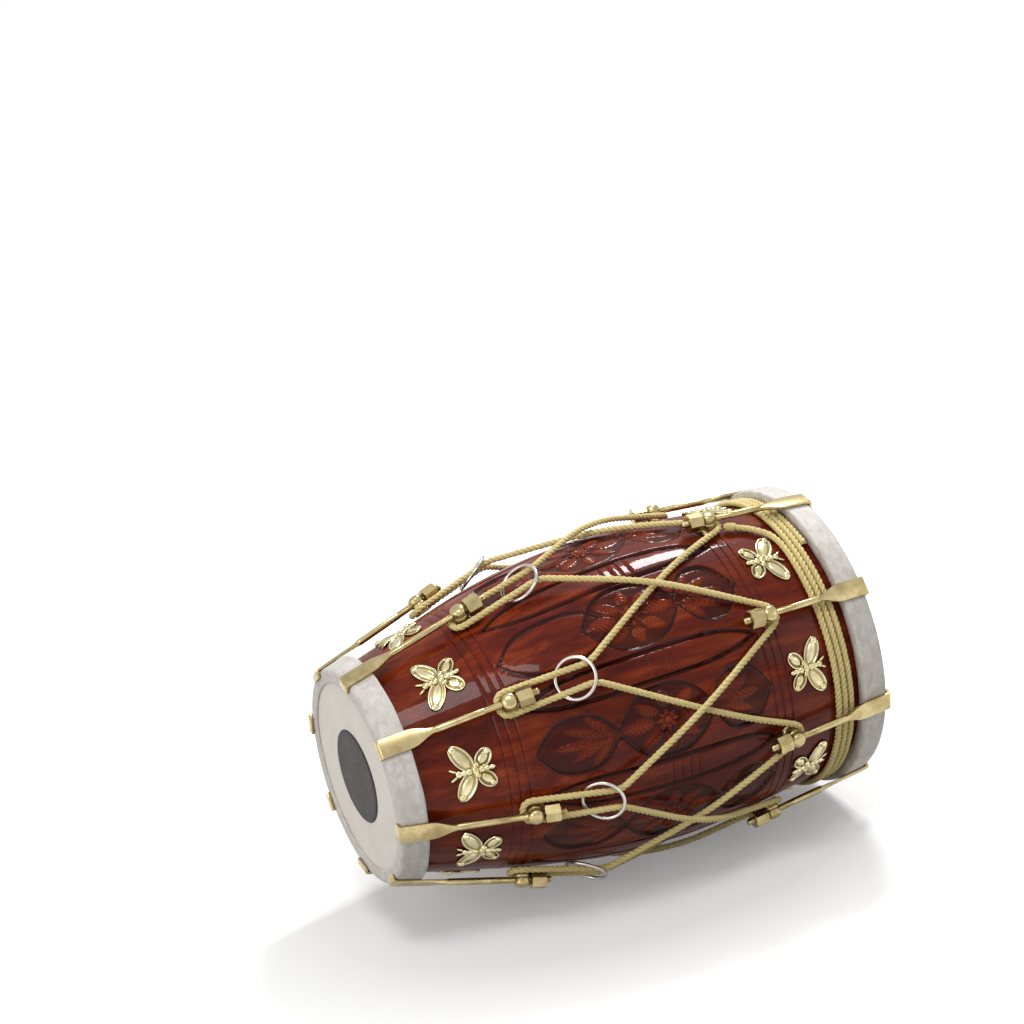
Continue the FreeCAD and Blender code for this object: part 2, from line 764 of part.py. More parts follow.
def make_winding():
    """The rope's spare length: a lead from the wide end's first saddle, then turns laid side by side."""
    radius = S.rope_radius.value
    start, start_way = winding_point(0)
    route = []
    for number, angle in enumerate(LEAD_ANGLES, 1):
        along = S.drum_length.value - getattr(S, f"lead_{number}_inset").value
        height = getattr(S, f"lead_{number}_lift").value
        route.append((on_drum(along, shell_radius(along) + radius + height, angle), None))
    route.append((start - start_way * (4 * radius), None))
    route.append((start, None))
    edges, radii = rounded_path(route)
    quarters = WINDING_TURNS * 4
    for quarter in range(quarters):
        here, here_way = winding_point(quarter / 4)
        there, there_way = winding_point((quarter + 1) / 4)
        edges += biarc(here, here_way, there, there_way)
    last, last_way = winding_point(WINDING_TURNS)
    edges.append(Part.LineSegment(last, last + last_way * (2 * radius)).toShape())
    print("tail_winding", "radii", [round(radius, 1) for radius in radii], "least gap", round(least_gap(edges), 2))
    piece = doc.addObject("Part::Feature", "tail_winding")
    piece.Shape = tube_along(edges, "tail_winding")
    return keep("tail_winding", piece, FreeCAD.Placement())


# Tension rings
def ring_frame(line):
    """A ring's frame: X along its pair of strands towards the small saddle, Y across them, Z its axis."""
    near = strand(line, 1, True)[0]
    across = strand(line, -1, True)[0]
    centre = (near + across) * 0.5
    saddle = rod_frame("small", line * LINE_ANGLE, saddle_distance("small"))
    target = saddle.multVec(FreeCAD.Vector(0, 0, -S.rope_drop.value))
    along = target - centre
    along.normalize()
    sideways = near - across
    sideways.normalize()
    outward = along.cross(sideways)
    if outward.dot(centre - FreeCAD.Vector(centre.x, 0, 0)) < 0:
        sideways = sideways * -1
        outward = outward * -1
    rotation = FreeCAD.Rotation(along, sideways, outward, "XYZ")
    place = FreeCAD.Placement(centre, rotation) * moved(S.ring_ahead, 0, 0)
    return place * turned((0, 1, 0), S.ring_tilt.value)


def make_rings():
    for line in range(LINES):
        name = f"tension_ring_{line + 1}"
        ring = doc.addObject("Part::Torus", name)
        ring.setExpression("Radius1", S.ring_radius.text)
        ring.setExpression("Radius2", S.ring_wire.text)
        keep(name, ring, ring_frame(line))


# Butterfly ornaments
def loose_cylinder(name, radius, height, placement):
    thing = doc.addObject("Part::Cylinder", name)
    thing.setExpression("Radius", radius.text)
    thing.setExpression("Height", height.text)
    thing.Placement = placement
    return thing


def make_butterfly(end):
    """A plate with four round wings, cut from a thin band that follows the barrel's flank."""
    station = of_end(end, "ornament_station")
    near = station - S.ornament_band / 2
    far = station + S.ornament_band / 2
    sketch = doc.addObject("Sketcher::SketchObject", f"{end}_band_section")
    sketch.Placement = turned((1, 0, 0), 90)
    inner_near = cone_radius(end, near) + S.seat_play
    inner_far = cone_radius(end, far) + S.seat_play
    draw_outline(sketch, [(near, inner_near), (near, inner_near + S.ornament_thickness),
                          (far, inner_far + S.ornament_thickness), (far, inner_far)])
    band = doc.addObject("Part::Revolution", f"{end}_band")
    band.Source = sketch
    band.Axis = (1, 0, 0)
    band.Base = (0, 0, 0)
    band.Angle = 360
    band.Solid = True
    height = S.belly_radius
    wings = []
    lobes = (("fore", S.fore_wing_radius, -S.fore_wing_ahead, S.fore_wing_aside),
             ("hind", S.hind_wing_radius, S.hind_wing_behind, S.hind_wing_aside))
    for kind, radius, along, aside in lobes:
        for hand in (-1, 1):
            place = moved(station + along, aside * hand, ZERO)
            wings.append(loose_cylinder(f"{end}_{kind}_wing", radius, height, place))
    trunk = doc.addObject("Part::Box", f"{end}_trunk")
    trunk.setExpression("Length", S.butterfly_body_length.text)
    trunk.setExpression("Width", S.butterfly_body_width.text)
    trunk.setExpression("Height", height.text)
    trunk.Placement = moved(station - S.butterfly_body_length / 2, -S.butterfly_body_width / 2, ZERO)
    outline = doc.addObject("Part::MultiFuse", f"{end}_outline")
    outline.Shapes = wings + [trunk]
    plate = doc.addObject("Part::MultiCommon", f"{end}_butterfly")
    plate.Shapes = [band, outline]
    return plate


def make_groups():
    """The pieces that repeat round each end and share a node."""
    saddle = make_saddle()
    plates = {end: make_butterfly(end) for end in ("small", "large")}
    doc.recompute()
    angles = [line * LINE_ANGLE for line in range(LINES)]
    for end, plate in plates.items():
        group_of(saddle, f"{end}_end_saddles", [rod_frame(end, angle, saddle_distance(end)) for angle in angles])
        group_of(plate, f"{end}_end_butterflies", [end_frame(end, angle + LINE_ANGLE / 2) for angle in angles])


def lay_at_rest():
    """Roll and tilt the drum as it lies on a table, with its origin under the middle of its box."""
    rest = turned((0, 1, 0), -S.rest_tilt.value) * turned((1, 0, 0), S.rest_roll.value)
    for thing, placement in pieces.values():
        thing.Placement = rest * placement
    doc.recompute()
    box = FreeCAD.BoundBox()
    for thing, _ in pieces.values():
        box.add(thing.Shape.optimalBoundingBox(False))
    rest = moved(-box.Center.x, -box.Center.y, -box.ZMin) * rest
    for thing, placement in pieces.values():
        thing.Placement = rest * placement
    doc.recompute()
    return rest


def check_and_write():
    for thing in doc.Objects:
        if "Invalid" in thing.State or "Error" in thing.State:
            raise RuntimeError(f"{thing.Label} failed: {thing.State}")
    for name, (thing, _) in pieces.items():
        if thing.Shape.isNull() or not thing.Shape.isValid():
            raise RuntimeError(f"{name} has no valid shape")
    os.makedirs("parts", exist_ok=True)
    for name, (thing, _) in pieces.items():
        thing.Shape.exportStep(f"parts/{name}.step")
    print(len(pieces), "nodes written")


make_shell()
make_patches()
for end in ("small", "large"):
    make_head(end)
    make_end_hardware(end)
make_groups()
make_lacing("lacing_rope_over", 6, True)
make_lacing("lacing_rope_under", 5, False)
make_winding()
make_rings()
rest_place = lay_at_rest()
check_and_write()
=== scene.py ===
# %% [markdown]
# # A rope-laced barrel drum, dressed in Blender
#
# The drum's measured solids come from the CAD frame. This script keeps the solids whose shape is already right,
# such as the nuts and the rings, and gives them a finish. It builds fuller pieces for the rest: the carved barrel,
# the skins and their collars, the hooks with their threads, the cast butterflies and the twisted ropes.
# All drum sizes below are in millimetres and all angles in degrees, as a maker would read them off a drawing.

# %% Load the frame
import bpy
import bmesh
import json
import math
import numpy as np
from mathutils import Matrix, Vector
from mathutils.bvhtree import BVHTree


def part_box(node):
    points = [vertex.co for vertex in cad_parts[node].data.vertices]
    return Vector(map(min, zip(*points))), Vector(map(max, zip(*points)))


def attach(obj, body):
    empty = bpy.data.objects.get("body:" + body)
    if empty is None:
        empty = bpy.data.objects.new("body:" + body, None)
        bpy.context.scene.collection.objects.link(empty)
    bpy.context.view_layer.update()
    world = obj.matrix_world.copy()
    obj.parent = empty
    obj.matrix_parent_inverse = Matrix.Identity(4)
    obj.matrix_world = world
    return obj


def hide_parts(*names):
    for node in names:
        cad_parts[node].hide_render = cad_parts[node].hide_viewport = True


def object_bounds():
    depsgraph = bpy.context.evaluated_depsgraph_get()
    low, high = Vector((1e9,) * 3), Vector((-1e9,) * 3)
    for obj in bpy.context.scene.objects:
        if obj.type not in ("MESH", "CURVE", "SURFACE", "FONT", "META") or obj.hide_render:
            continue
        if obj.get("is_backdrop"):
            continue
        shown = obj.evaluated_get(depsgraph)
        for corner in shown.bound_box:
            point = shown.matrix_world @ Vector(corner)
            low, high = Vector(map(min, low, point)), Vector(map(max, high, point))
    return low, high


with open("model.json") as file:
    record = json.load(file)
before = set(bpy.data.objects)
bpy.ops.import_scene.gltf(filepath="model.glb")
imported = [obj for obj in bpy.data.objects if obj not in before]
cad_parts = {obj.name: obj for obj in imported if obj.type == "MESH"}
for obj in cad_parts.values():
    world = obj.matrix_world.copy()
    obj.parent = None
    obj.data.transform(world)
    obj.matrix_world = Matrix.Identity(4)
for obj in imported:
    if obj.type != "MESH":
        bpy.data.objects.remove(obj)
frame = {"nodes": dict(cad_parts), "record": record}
cad_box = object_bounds()
print("CAD nodes:", len(frame["nodes"]), "box:", [round(v, 3) for v in (*cad_box[0], *cad_box[1])])

# %% [markdown]
# ## Where the drum lies
#
# The drum lies on its side, rolled a little and with its narrow head almost level. Everything on it is easier to
# place along its own axis, so the first step is a matrix from the drum's frame (X from the narrow head to the wide
# head) to the row frame. The two hoops under the collars are rings about the axis, 9 mm inside each face, so the
# middles of their boxes give the axis without any guess.

# %% The drum's own frame
DRUM_LENGTH = 442.0
HOOP_INSIDE = 9.0
REST_ROLL = 9.89
MM = 0.001


def box_middle(node):
    low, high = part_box(node)
    return (low + high) / 2


axis = (box_middle("large_hoop") - box_middle("small_hoop")).normalized()
narrow_face = box_middle("small_hoop") - axis * HOOP_INSIDE * MM
tilt = math.asin(axis.z)
LAY = (Matrix.Translation(narrow_face) @ Matrix.Rotation(-tilt, 4, "Y")
       @ Matrix.Rotation(math.radians(REST_ROLL), 4, "X") @ Matrix.Scale(MM, 4))
print("narrow face at", [round(v, 4) for v in narrow_face], "tilt", round(math.degrees(tilt), 2))

# %% Frames at each end and along each tuning rod
LINES = 8
LINE_ANGLE = 360 / LINES
HOOK_SLOPE = {"small": 16.8, "large": 5.0}
COLLAR_RADIUS = {"small": 94.0, "large": 133.5}
SADDLE_STATION = {"small": 106.0, "large": 97.0}
STRAP = 2.5
HOOK_GAP = 0.3
NUT_BEYOND = 7.3
END_WORD = {"small": "narrow", "large": "wide"}


def rod_start(end):
    """How far from the drum's axis a rod's axis lies at the head's face."""
    return COLLAR_RADIUS[end] + (HOOK_GAP + STRAP / 2) / math.cos(math.radians(HOOK_SLOPE[end]))


def saddle_reach(end):
    return SADDLE_STATION[end] / math.cos(math.radians(HOOK_SLOPE[end]))


def end_frame(end, turn=0.0):
    """X from that head's face into the drum, Z away from the axis, in millimetres."""
    place = LAY @ Matrix.Rotation(math.radians(turn), 4, "X")
    if end == "small":
        return place
    return place @ Matrix.Translation((DRUM_LENGTH, 0, 0)) @ Matrix.Rotation(math.pi, 4, "Z")


def rod_frame(end, turn=0.0, along=0.0):
    return (end_frame(end, turn) @ Matrix.Translation((0, 0, rod_start(end)))
            @ Matrix.Rotation(-math.radians(HOOK_SLOPE[end]), 4, "Y") @ Matrix.Translation((along, 0, 0)))


def on_drum(along, radius, turn):
    """A point of the drum's own frame, at an angle from the top."""
    angle = math.radians(turn)
    return Vector((along, -radius * math.sin(angle), radius * math.cos(angle)))


nut_at = rod_frame("small", 0, saddle_reach("small") + NUT_BEYOND).translation
hinge = next(j for j in frame["record"]["behaviour"]["joints"] if j["name"] == "small_nut_1_turn")
print("first nut, drawn against CAD, off by", round((nut_at - Vector(hinge["pos_m"])).length * 1000, 3), "mm")

# %% [markdown]
# ## Helpers that every piece uses
#
# Most parts of this drum were turned on a lathe, pressed from strip or cast. A lathe shape is drawn as a half
# outline and spun about an axis, which is what bmesh's spin does. Each finished piece is put on its CAD body,
# so that it moves when the joint moves, and the CAD nodes that it replaces are hidden. Where an ornament is wrapped
# on the barrel several times, its flat copies first wait side by side, a long way apart, so that each vertex still
# tells which copy it belongs to.


# %% Spin a half outline, and hang a finished piece on the frame
def spun(outline, steps, closed=True, axis_way=(1, 0, 0)):
    """A bmesh turned from (along the axis, radius) pairs."""
    bm = bmesh.new()
    side = Vector((0, 0, 1)) if axis_way[0] else Vector((1, 0, 0))
    verts = [bm.verts.new(Vector(axis_way) * along + side * radius) for along, radius in outline]
    for a, b in zip(verts, verts[1:] + (verts[:1] if closed else [])):
        bm.edges.new((a, b))
    bmesh.ops.spin(bm, geom=bm.verts[:] + bm.edges[:], cent=(0, 0, 0), axis=axis_way, dvec=(0, 0, 0),
                   angle=2 * math.pi, steps=steps, use_merge=True)
    bmesh.ops.remove_doubles(bm, verts=bm.verts[:], dist=1e-4)
    bmesh.ops.recalc_face_normals(bm, faces=bm.faces[:])
    return bm


def put_in_scene(name, data):
    made = bpy.data.objects.new(name, data)
    bpy.context.scene.collection.objects.link(made)
    return made


def hang_piece(name, bm, material, body, nodes=(), sharp=35):
    """Make the mesh object, finish it and let it ride on its body."""
    mesh = bpy.data.meshes.new(name)
    bm.to_mesh(mesh)
    bm.free()
    return hang_mesh(name, mesh, material, body, nodes, sharp)


def hang_mesh(name, mesh, material, body, nodes=(), sharp=35):
    mesh.polygons.foreach_set("use_smooth", [True] * len(mesh.polygons))
    mesh.set_sharp_from_angle(angle=math.radians(sharp))
    mesh.materials.clear()
    mesh.materials.append(material)
    piece = put_in_scene(name, mesh)
    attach(piece, body)
    if nodes:
        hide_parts(*nodes)
    return piece


def join_into(target, source, matrix):
    """Add one bmesh to another at a place."""
    source_mesh = bpy.data.meshes.new("part_to_join")
    source.to_mesh(source_mesh)
    source_mesh.transform(matrix)
    target.from_mesh(source_mesh)
    bpy.data.meshes.remove(source_mesh)


ASIDE = 1000


def ramp01(value, low, high):
    """0 below low, 1 above high, and a soft step between."""
    share = min(1.0, max(0.0, (value - low) / (high - low)))
    return share * share * (3 - 2 * share)


# %% [markdown]
# ## Finishes
#
# Each finish is a small network of nodes. A texture gives a pattern in the object's own coordinates, a colour ramp
# turns it into the finish's colours, and a bump node lets light catch on it. The helpers below keep each finish to
# a few readable lines.


# %% Node helpers
def new_finish(name):
    material = bpy.data.materials.new(name)
    material.use_nodes = True
    tree = material.node_tree
    tree.nodes.clear()
    output = tree.nodes.new("ShaderNodeOutputMaterial")
    shader = tree.nodes.new("ShaderNodeBsdfPrincipled")
    tree.links.new(shader.outputs["BSDF"], output.inputs["Surface"])
    return material, tree, shader


def feed(tree, made, inputs):
    """Link sockets to a node's inputs, and set the plain values."""
    for key, value in inputs.items():
        if isinstance(value, bpy.types.NodeSocket):
            tree.links.new(value, made.inputs[key])
        else:
            made.inputs[key].default_value = value


def node(tree, kind, inputs=None, **settings):
    """A node with its settings and its inputs."""
    made = tree.nodes.new("ShaderNode" + kind)
    for key, value in settings.items():
        setattr(made, key, value)
    feed(tree, made, inputs or {})
    return made


def attribute(tree, name, output="Fac"):
    return node(tree, "Attribute", attribute_name=name).outputs[output]


def object_place(tree, scale=(1, 1, 1), turn=(0, 0, 0)):
    place = node(tree, "TexCoord")
    return node(tree, "Mapping", {"Vector": place.outputs["Object"], "Scale": scale, "Rotation": turn}).outputs[0]


def noise(tree, where, scale, detail=4.0, roughness=0.55, distortion=0.0):
    return node(tree, "TexNoise", {"Vector": where, "Scale": scale, "Detail": detail, "Roughness": roughness,
                                   "Distortion": distortion}).outputs["Fac"]


def colours(tree, share, stops):
    """A colour ramp from (position, colour) pairs."""
    made = node(tree, "ValToRGB", {"Fac": share})
    band = made.color_ramp
    while len(band.elements) < len(stops):
        band.elements.new(0.5)
    for element, (position, colour) in zip(band.elements, stops):
        element.position = position
        element.color = (*colour, 1.0)
    return made.outputs["Color"]


def stretch(tree, value, low, high, to_low=0.0, to_high=1.0):
    return node(tree, "MapRange", {"Value": value, "From Min": low, "From Max": high, "To Min": to_low,
                                   "To Max": to_high}).outputs["Result"]


def mixed(tree, share, first, second):
    pair = [value if isinstance(value, bpy.types.NodeSocket) else (*value, 1.0) for value in (first, second)]
    return node(tree, "Mix", {0: share, 6: pair[0], 7: pair[1]}, data_type="RGBA").outputs[2]


def sums(tree, first, second, kind="ADD"):
    return node(tree, "Math", {0: first, 1: second}, operation=kind).outputs[0]


def in_sight(tree):
    """1 for the camera, and for what it sees in shiny or clear things."""
    rays = node(tree, "LightPath").outputs
    return sums(tree, sums(tree, rays["Is Camera Ray"], rays["Is Glossy Ray"], "MAXIMUM"),
                rays["Is Transmission Ray"], "MAXIMUM")


def bump(tree, height, strength, distance, under=None):
    inputs = {"Height": height, "Strength": strength, "Distance": distance}
    if under is not None:
        inputs["Normal"] = under
    return node(tree, "Bump", inputs).outputs["Normal"]


# %% [markdown]
# ### Red lacquered wood
#
# The barrel is carved hardwood, stained deep red and brushed with gloss lacquer. Stain gathers in the carving, so
# the piece carries three attributes: how deep each point is cut, how far it is from each cut outline, and how high a
# leaf stands. Deeper cuts get darker stain, a dark band along each cut outline is painted shade, and the lighter tops
# of the leaves are a painted highlight. Long streaks of noise along the drum are the grain, a finer set is the pores,
# and a clear coat on top gives the wet-looking shine.


# %% Red lacquered wood
def make_lacquer():
    material, tree, shader = new_finish("lacquered_wood")
    grain = noise(tree, object_place(tree, (3.2, 26, 26)), 3.0, 6.0, 0.62, 0.5)
    patches = noise(tree, object_place(tree), 9.0, 2.0)
    pores = noise(tree, object_place(tree, (30, 420, 420)), 3.0, 2.0)
    body = colours(tree, grain, [(0.30, (0.056, 0.0042, 0.0018)), (0.50, (0.155, 0.0150, 0.0028)),
                                 (0.72, (0.36, 0.0560, 0.0065))])
    body = mixed(tree, stretch(tree, patches, 0.32, 0.72, 0.0, 0.66), body, (0.066, 0.0048, 0.0018))
    # Painted highlight: the high tops of the carved leaves are mixed to a lighter orange.
    leaf_top_highlight = stretch(tree, attribute(tree, "leaf_top_highlight"), 0.0, 1.0, 0.0, 0.62)
    body = mixed(tree, leaf_top_highlight, body, (0.30, 0.046, 0.0075))
    near = node(tree, "SeparateXYZ", {0: attribute(tree, "edges", "Vector")})
    outlines = 0.0
    for way in "XYZ":
        away = sums(tree, near.outputs[way], 0.0, "ABSOLUTE")
        outlines = sums(tree, outlines, stretch(tree, away, 0.7, 3.0, 1.0, 0.0), "MAXIMUM")
    # Stain and painted shade: deeper cuts get darker stain, and a dark band up to 3 mm wide along each cut outline is
    # painted shade.
    stain_and_shade = sums(tree, stretch(tree, attribute(tree, "carved"), 0.10, 0.80, 0.0, 0.62),
                 sums(tree, outlines, 0.94, "MULTIPLY"), "MAXIMUM")
    body = mixed(tree, stain_and_shade, body, (0.012, 0.0014, 0.0016))
    ridge = bump(tree, stretch(tree, outlines, 0.0, 1.0, 1.0, 0.0), 0.55, 0.0012)
    brushed = bump(tree, noise(tree, object_place(tree, (14, 60, 60)), 4.0, 3.0), 0.25, 0.0006, ridge)
    coat = bump(tree, noise(tree, object_place(tree), 70.0, 3.0), 0.10, 0.0008, ridge)
    feed(tree, shader, {"Base Color": body, "Roughness": stretch(tree, patches, 0.3, 0.7, 0.34, 0.46),
                        "Specular IOR Level": 0.04, "Normal": bump(tree, pores, 0.12, 0.0002, brushed),
                        "Coat Weight": 0.30, "Coat Roughness": 0.04, "Coat IOR": 1.4, "Coat Normal": coat})
    return material


lacquer = make_lacquer()
print("finish:", lacquer.name)

# %% [markdown]
# ### Skin, collar and tuning paste
#
# A head is thinly scraped goat skin: a warm white sheet with cloudy patches and faint fibres. The collar is the same
# skin lapped over its hoop and pulled while wet, so it is cooler in colour, rougher and crossed by small wrinkles.
# The tuning paste is iron filings and starch rubbed on in rings, dull grey brown with a darker edge.


# %% Skin, collar and paste finishes
def make_skin():
    material, tree, shader = new_finish("drum_skin")
    clouds = noise(tree, object_place(tree), 26.0, 5.0, 0.6, 0.4)
    fibres = noise(tree, object_place(tree, (60, 14, 60), (0.5, 0, 0)), 12.0, 3.0)
    body = colours(tree, clouds, [(0.28, (0.70, 0.62, 0.54)), (0.5, (0.78, 0.72, 0.65)),
                                  (0.75, (0.83, 0.79, 0.73))])
    body = mixed(tree, stretch(tree, fibres, 0.5, 0.8, 0.0, 0.22), body, (0.50, 0.42, 0.34))
    soft = bump(tree, clouds, 0.18, 0.001)
    pored = bump(tree, noise(tree, object_place(tree), 900.0, 2.0), 0.10, 0.0002, soft)
    feed(tree, shader, {"Base Color": body, "Roughness": stretch(tree, clouds, 0.3, 0.7, 0.48, 0.62),
                        "Normal": pored, "Sheen Weight": 0.10})
    return material


def make_collar_skin():
    material, tree, shader = new_finish("collar_skin")
    folds = noise(tree, object_place(tree, (150, 90, 90)), 1.0, 5.0, 0.65, 0.6)
    cells = node(tree, "TexVoronoi", {"Vector": object_place(tree), "Scale": 260.0}).outputs["Distance"]
    body = colours(tree, folds, [(0.28, (0.46, 0.415, 0.37)), (0.5, (0.59, 0.555, 0.515)),
                                 (0.72, (0.71, 0.685, 0.65))])
    wrinkled = bump(tree, folds, 0.45, 0.0012)
    feed(tree, shader, {"Base Color": body, "Roughness": stretch(tree, folds, 0.3, 0.7, 0.50, 0.68),
                        "Normal": bump(tree, cells, 0.22, 0.0004, wrinkled), "Sheen Weight": 0.12})
    return material


def make_paste():
    material, tree, shader = new_finish("tuning_paste")
    grit = noise(tree, object_place(tree), 420.0, 4.0, 0.7)
    cloud = noise(tree, object_place(tree), 45.0, 3.0)
    body = colours(tree, cloud, [(0.3, (0.034, 0.029, 0.026)), (0.6, (0.052, 0.044, 0.040)),
                                 (0.8, (0.10, 0.086, 0.080))])
    body = mixed(tree, stretch(tree, attribute(tree, "edge"), 0.80, 0.97, 0.0, 0.85), body, (0.026, 0.022, 0.022))
    body = mixed(tree, stretch(tree, grit, 0.60, 0.75, 0.0, 0.35), body, (0.17, 0.15, 0.14))
    feed(tree, shader, {"Base Color": body, "Roughness": stretch(tree, grit, 0.3, 0.7, 0.50, 0.72),
                        "Specular IOR Level": 0.25, "Normal": bump(tree, grit, 0.35, 0.0004)})
    return material


skin, collar_skin, paste = make_skin(), make_collar_skin(), make_paste()
print("finishes:", skin.name, collar_skin.name, paste.name)

# %% [markdown]
# ### Metals
#
# The hooks, nuts and saddles are pale yellow brass, handled and slightly dull. The cast butterflies are lighter,
# almost silver on their raised parts, and darker brown in the hollows. The tension rings are nickel-plated
# wire. One maker function serves them all: two colours that a slow noise mixes, fine scratches, and a roughness
# that wanders, because a metal of one even roughness looks like plastic.


# %% Metal finishes
def make_metal(name, light, dark, rough_low, rough_high, hollow=None):
    material, tree, shader = new_finish(name)
    handled = noise(tree, object_place(tree), 60.0, 5.0, 0.6)
    scratches = noise(tree, object_place(tree, (900, 70, 70), (0.2, 0.4, 0.9)), 1.0, 3.0)
    body = mixed(tree, stretch(tree, handled, 0.35, 0.70), light, dark)
    if hollow:
        body = mixed(tree, stretch(tree, attribute(tree, "hollow"), 0.05, 0.9, 0.0, 0.9), body, hollow)
    worn = bump(tree, scratches, 0.08, 0.0002)
    feed(tree, shader, {"Base Color": body, "Roughness": stretch(tree, handled, 0.3, 0.7, rough_low, rough_high),
                        "Metallic": 1.0, "Normal": bump(tree, handled, 0.06, 0.0005, worn)})
    return material


brass = make_metal("pale_brass", (0.54, 0.445, 0.235), (0.30, 0.225, 0.095), 0.20, 0.38)
cast_brass = make_metal("cast_brass", (0.72, 0.66, 0.42), (0.46, 0.37, 0.17), 0.14, 0.30, (0.09, 0.055, 0.015))
nickel = make_metal("ring_nickel", (0.62, 0.58, 0.54), (0.40, 0.36, 0.33), 0.18, 0.34)
steel = make_metal("hoop_steel", (0.45, 0.44, 0.43), (0.25, 0.22, 0.20), 0.35, 0.6)
print("finishes:", brass.name, cast_brass.name, nickel.name, steel.name)

# %% [markdown]
# ### Twisted rope
#
# The rope is cotton, three strands laid together. The strands are real geometry further down, so the finish only
# needs the yarn: fine fibres that run along each strand. Every strand carries an attribute with the place that each
# point would have if the strand were pulled straight, and the fibres are noise stretched along that. A second
# attribute is high in the creases between strands, and the finish darkens the rope there as painted shade.


# %% Rope finish
def make_rope_finish():
    material, tree, shader = new_finish("rope")
    lay = node(tree, "Mapping", {"Vector": attribute(tree, "lay", "Vector"), "Scale": (3.2, 3.2, 0.22)})
    yarn = noise(tree, lay.outputs[0], 1.0, 4.0, 0.6)
    soil = noise(tree, object_place(tree), 22.0, 3.0)
    body = colours(tree, yarn, [(0.30, (0.56, 0.42, 0.14)), (0.5, (0.74, 0.60, 0.24)), (0.72, (0.84, 0.73, 0.365))])
    body = mixed(tree, stretch(tree, soil, 0.45, 0.75, 0.0, 0.35), body, (0.56, 0.44, 0.155))
    # Painted shade in the creases between the strands.
    body = mixed(tree, stretch(tree, attribute(tree, "crease_shade"), 0.25, 1.0, 0.0, 0.55), body, (0.26, 0.17, 0.055))
    feed(tree, shader, {"Base Color": body, "Roughness": stretch(tree, yarn, 0.3, 0.7, 0.62, 0.85),
                        "Normal": bump(tree, yarn, 0.7, 0.0005), "Sheen Weight": 0.25})
    return material


rope_finish = make_rope_finish()
print("finish:", rope_finish.name)

# %% [markdown]
# ## The barrel
#
# The real barrel is turned from one log and then carved. Two cones run tangent into a long arc that is widest past
# the middle. The half outline follows that in steps of a few millimetres, with extra points at each incised line,
# and is spun. Then a function says how deep the carver cut at each place, and every vertex of the outer face moves
# in by that much. Cutting only inwards keeps the ropes clear, as on the real drum.

# %% The barrel's outline
BELLY_AT, BELLY_RADIUS, BELLY_CURVE = 264.0, 137.0, 558.0
NECK, MOUTH, WALL = 22.0, 3.3, 10.0
SHOULDER = {"small": 91.5, "large": 123.2}
NECK_RADIUS = {"small": 86.0, "large": 117.7}
INCISED = [93.0, 101.0, 109.0, 334.0, 342.0, 350.0]


def flank_slope(across, shoulder):
    height = shoulder + BELLY_CURVE - BELLY_RADIUS
    return math.asin(BELLY_CURVE / math.hypot(across, height)) - math.atan2(height, across)


SLOPE = {"small": flank_slope(BELLY_AT - NECK, SHOULDER["small"]),
         "large": flank_slope(DRUM_LENGTH - NECK - BELLY_AT, SHOULDER["large"])}


def barrel_radius(along):
    """The barrel's outer radius before carving."""
    if along < BELLY_AT - BELLY_CURVE * math.sin(SLOPE["small"]):
        return SHOULDER["small"] + math.tan(SLOPE["small"]) * (along - NECK)
    if along > BELLY_AT + BELLY_CURVE * math.sin(SLOPE["large"]):
        return SHOULDER["large"] + math.tan(SLOPE["large"]) * (DRUM_LENGTH - NECK - along)
    away = along - BELLY_AT
    return BELLY_RADIUS - BELLY_CURVE + math.sqrt(BELLY_CURVE ** 2 - away ** 2)


print("flank slopes", {end: round(math.degrees(slope), 2) for end, slope in SLOPE.items()})

# %% [markdown]
# The carving has its own rhythm, apart from the eight rows of hooks. Nine long smooth ribs run down the belly, each
# pointed at both ends, with four short lines cut across its middle. The photograph shows three of them, 37 to 39
# degrees apart. Between two ribs lie three sunk fields of leaves. One field near the narrow end is a smooth panel
# with a cut outline instead.

# %% How deep the carver cut
RIBS, FIRST_RIB, RIB_STEP = 9, 8.8, 40.0
RIB_MIDDLE, RIB_REACH, RIB_HALF = 224.0, 106.0, 12.5
CROSS_LINES = [231.0, 239.0, 247.0, 255.0]
PLAIN_FIELD, PANEL = 0, (164.0, 50.0, 23.0)
FIELDS = {"flower": (233.0, 44.0, 30.0), "wide_spray": (303.0, 29.0, 26.0), "narrow_spray": (155.0, 36.0, 23.0)}
LEAF_DEPTH, LINE_RADIUS, CROSS_HALF, FAR = 2.0, 0.9, 0.9, 30.0


def outline_distance(along, across, shape, fullness):
    """Millimetres outside (or, below 0, inside) a pointed oval that lies along the drum."""
    middle, reach, half = shape
    share = abs(along - middle) / reach
    if share >= 1:
        return math.hypot(across, abs(along - middle) - reach)
    return across - half * (1 - share ** fullness)


def carver(along, turn):
    """Depth cut at a place, in millimetres, and the distances from a rib, a field and a panel outline."""
    radius = barrel_radius(along)
    number = math.floor((turn - FIRST_RIB) / RIB_STEP) % RIBS
    from_rib = (turn - FIRST_RIB) % RIB_STEP
    from_rib = min(from_rib, RIB_STEP - from_rib)
    off_rib = math.radians(from_rib) * radius
    off_field = math.radians(RIB_STEP / 2 - from_rib) * radius
    rib = outline_distance(along, off_rib, (RIB_MIDDLE, RIB_REACH, RIB_HALF), 4.5)
    field = panel = FAR
    for name, shape in FIELDS.items():
        if name == "narrow_spray" and number == PLAIN_FIELD:
            panel = outline_distance(along, off_field, PANEL, 3.0)
        else:
            field = min(field, outline_distance(along, off_field, shape, 2.6))
    depth = 2.0 * ramp01(1 - abs(rib) / 2.8, 0, 1)
    depth = max(depth, 0.9 * ramp01(1 - abs(panel) / 1.8, 0, 1))
    depth = max(depth, LEAF_DEPTH * (1 - ramp01(field, -1.4, 1.2)))
    for line in INCISED:
        depth = max(depth, math.sqrt(max(0.0, LINE_RADIUS ** 2 - (along - line) ** 2)))
    if rib < -1:
        for line in CROSS_LINES:
            depth = max(depth, 0.8 * max(0.0, 1 - abs(along - line) / CROSS_HALF))
    return depth, (rib, field, panel)


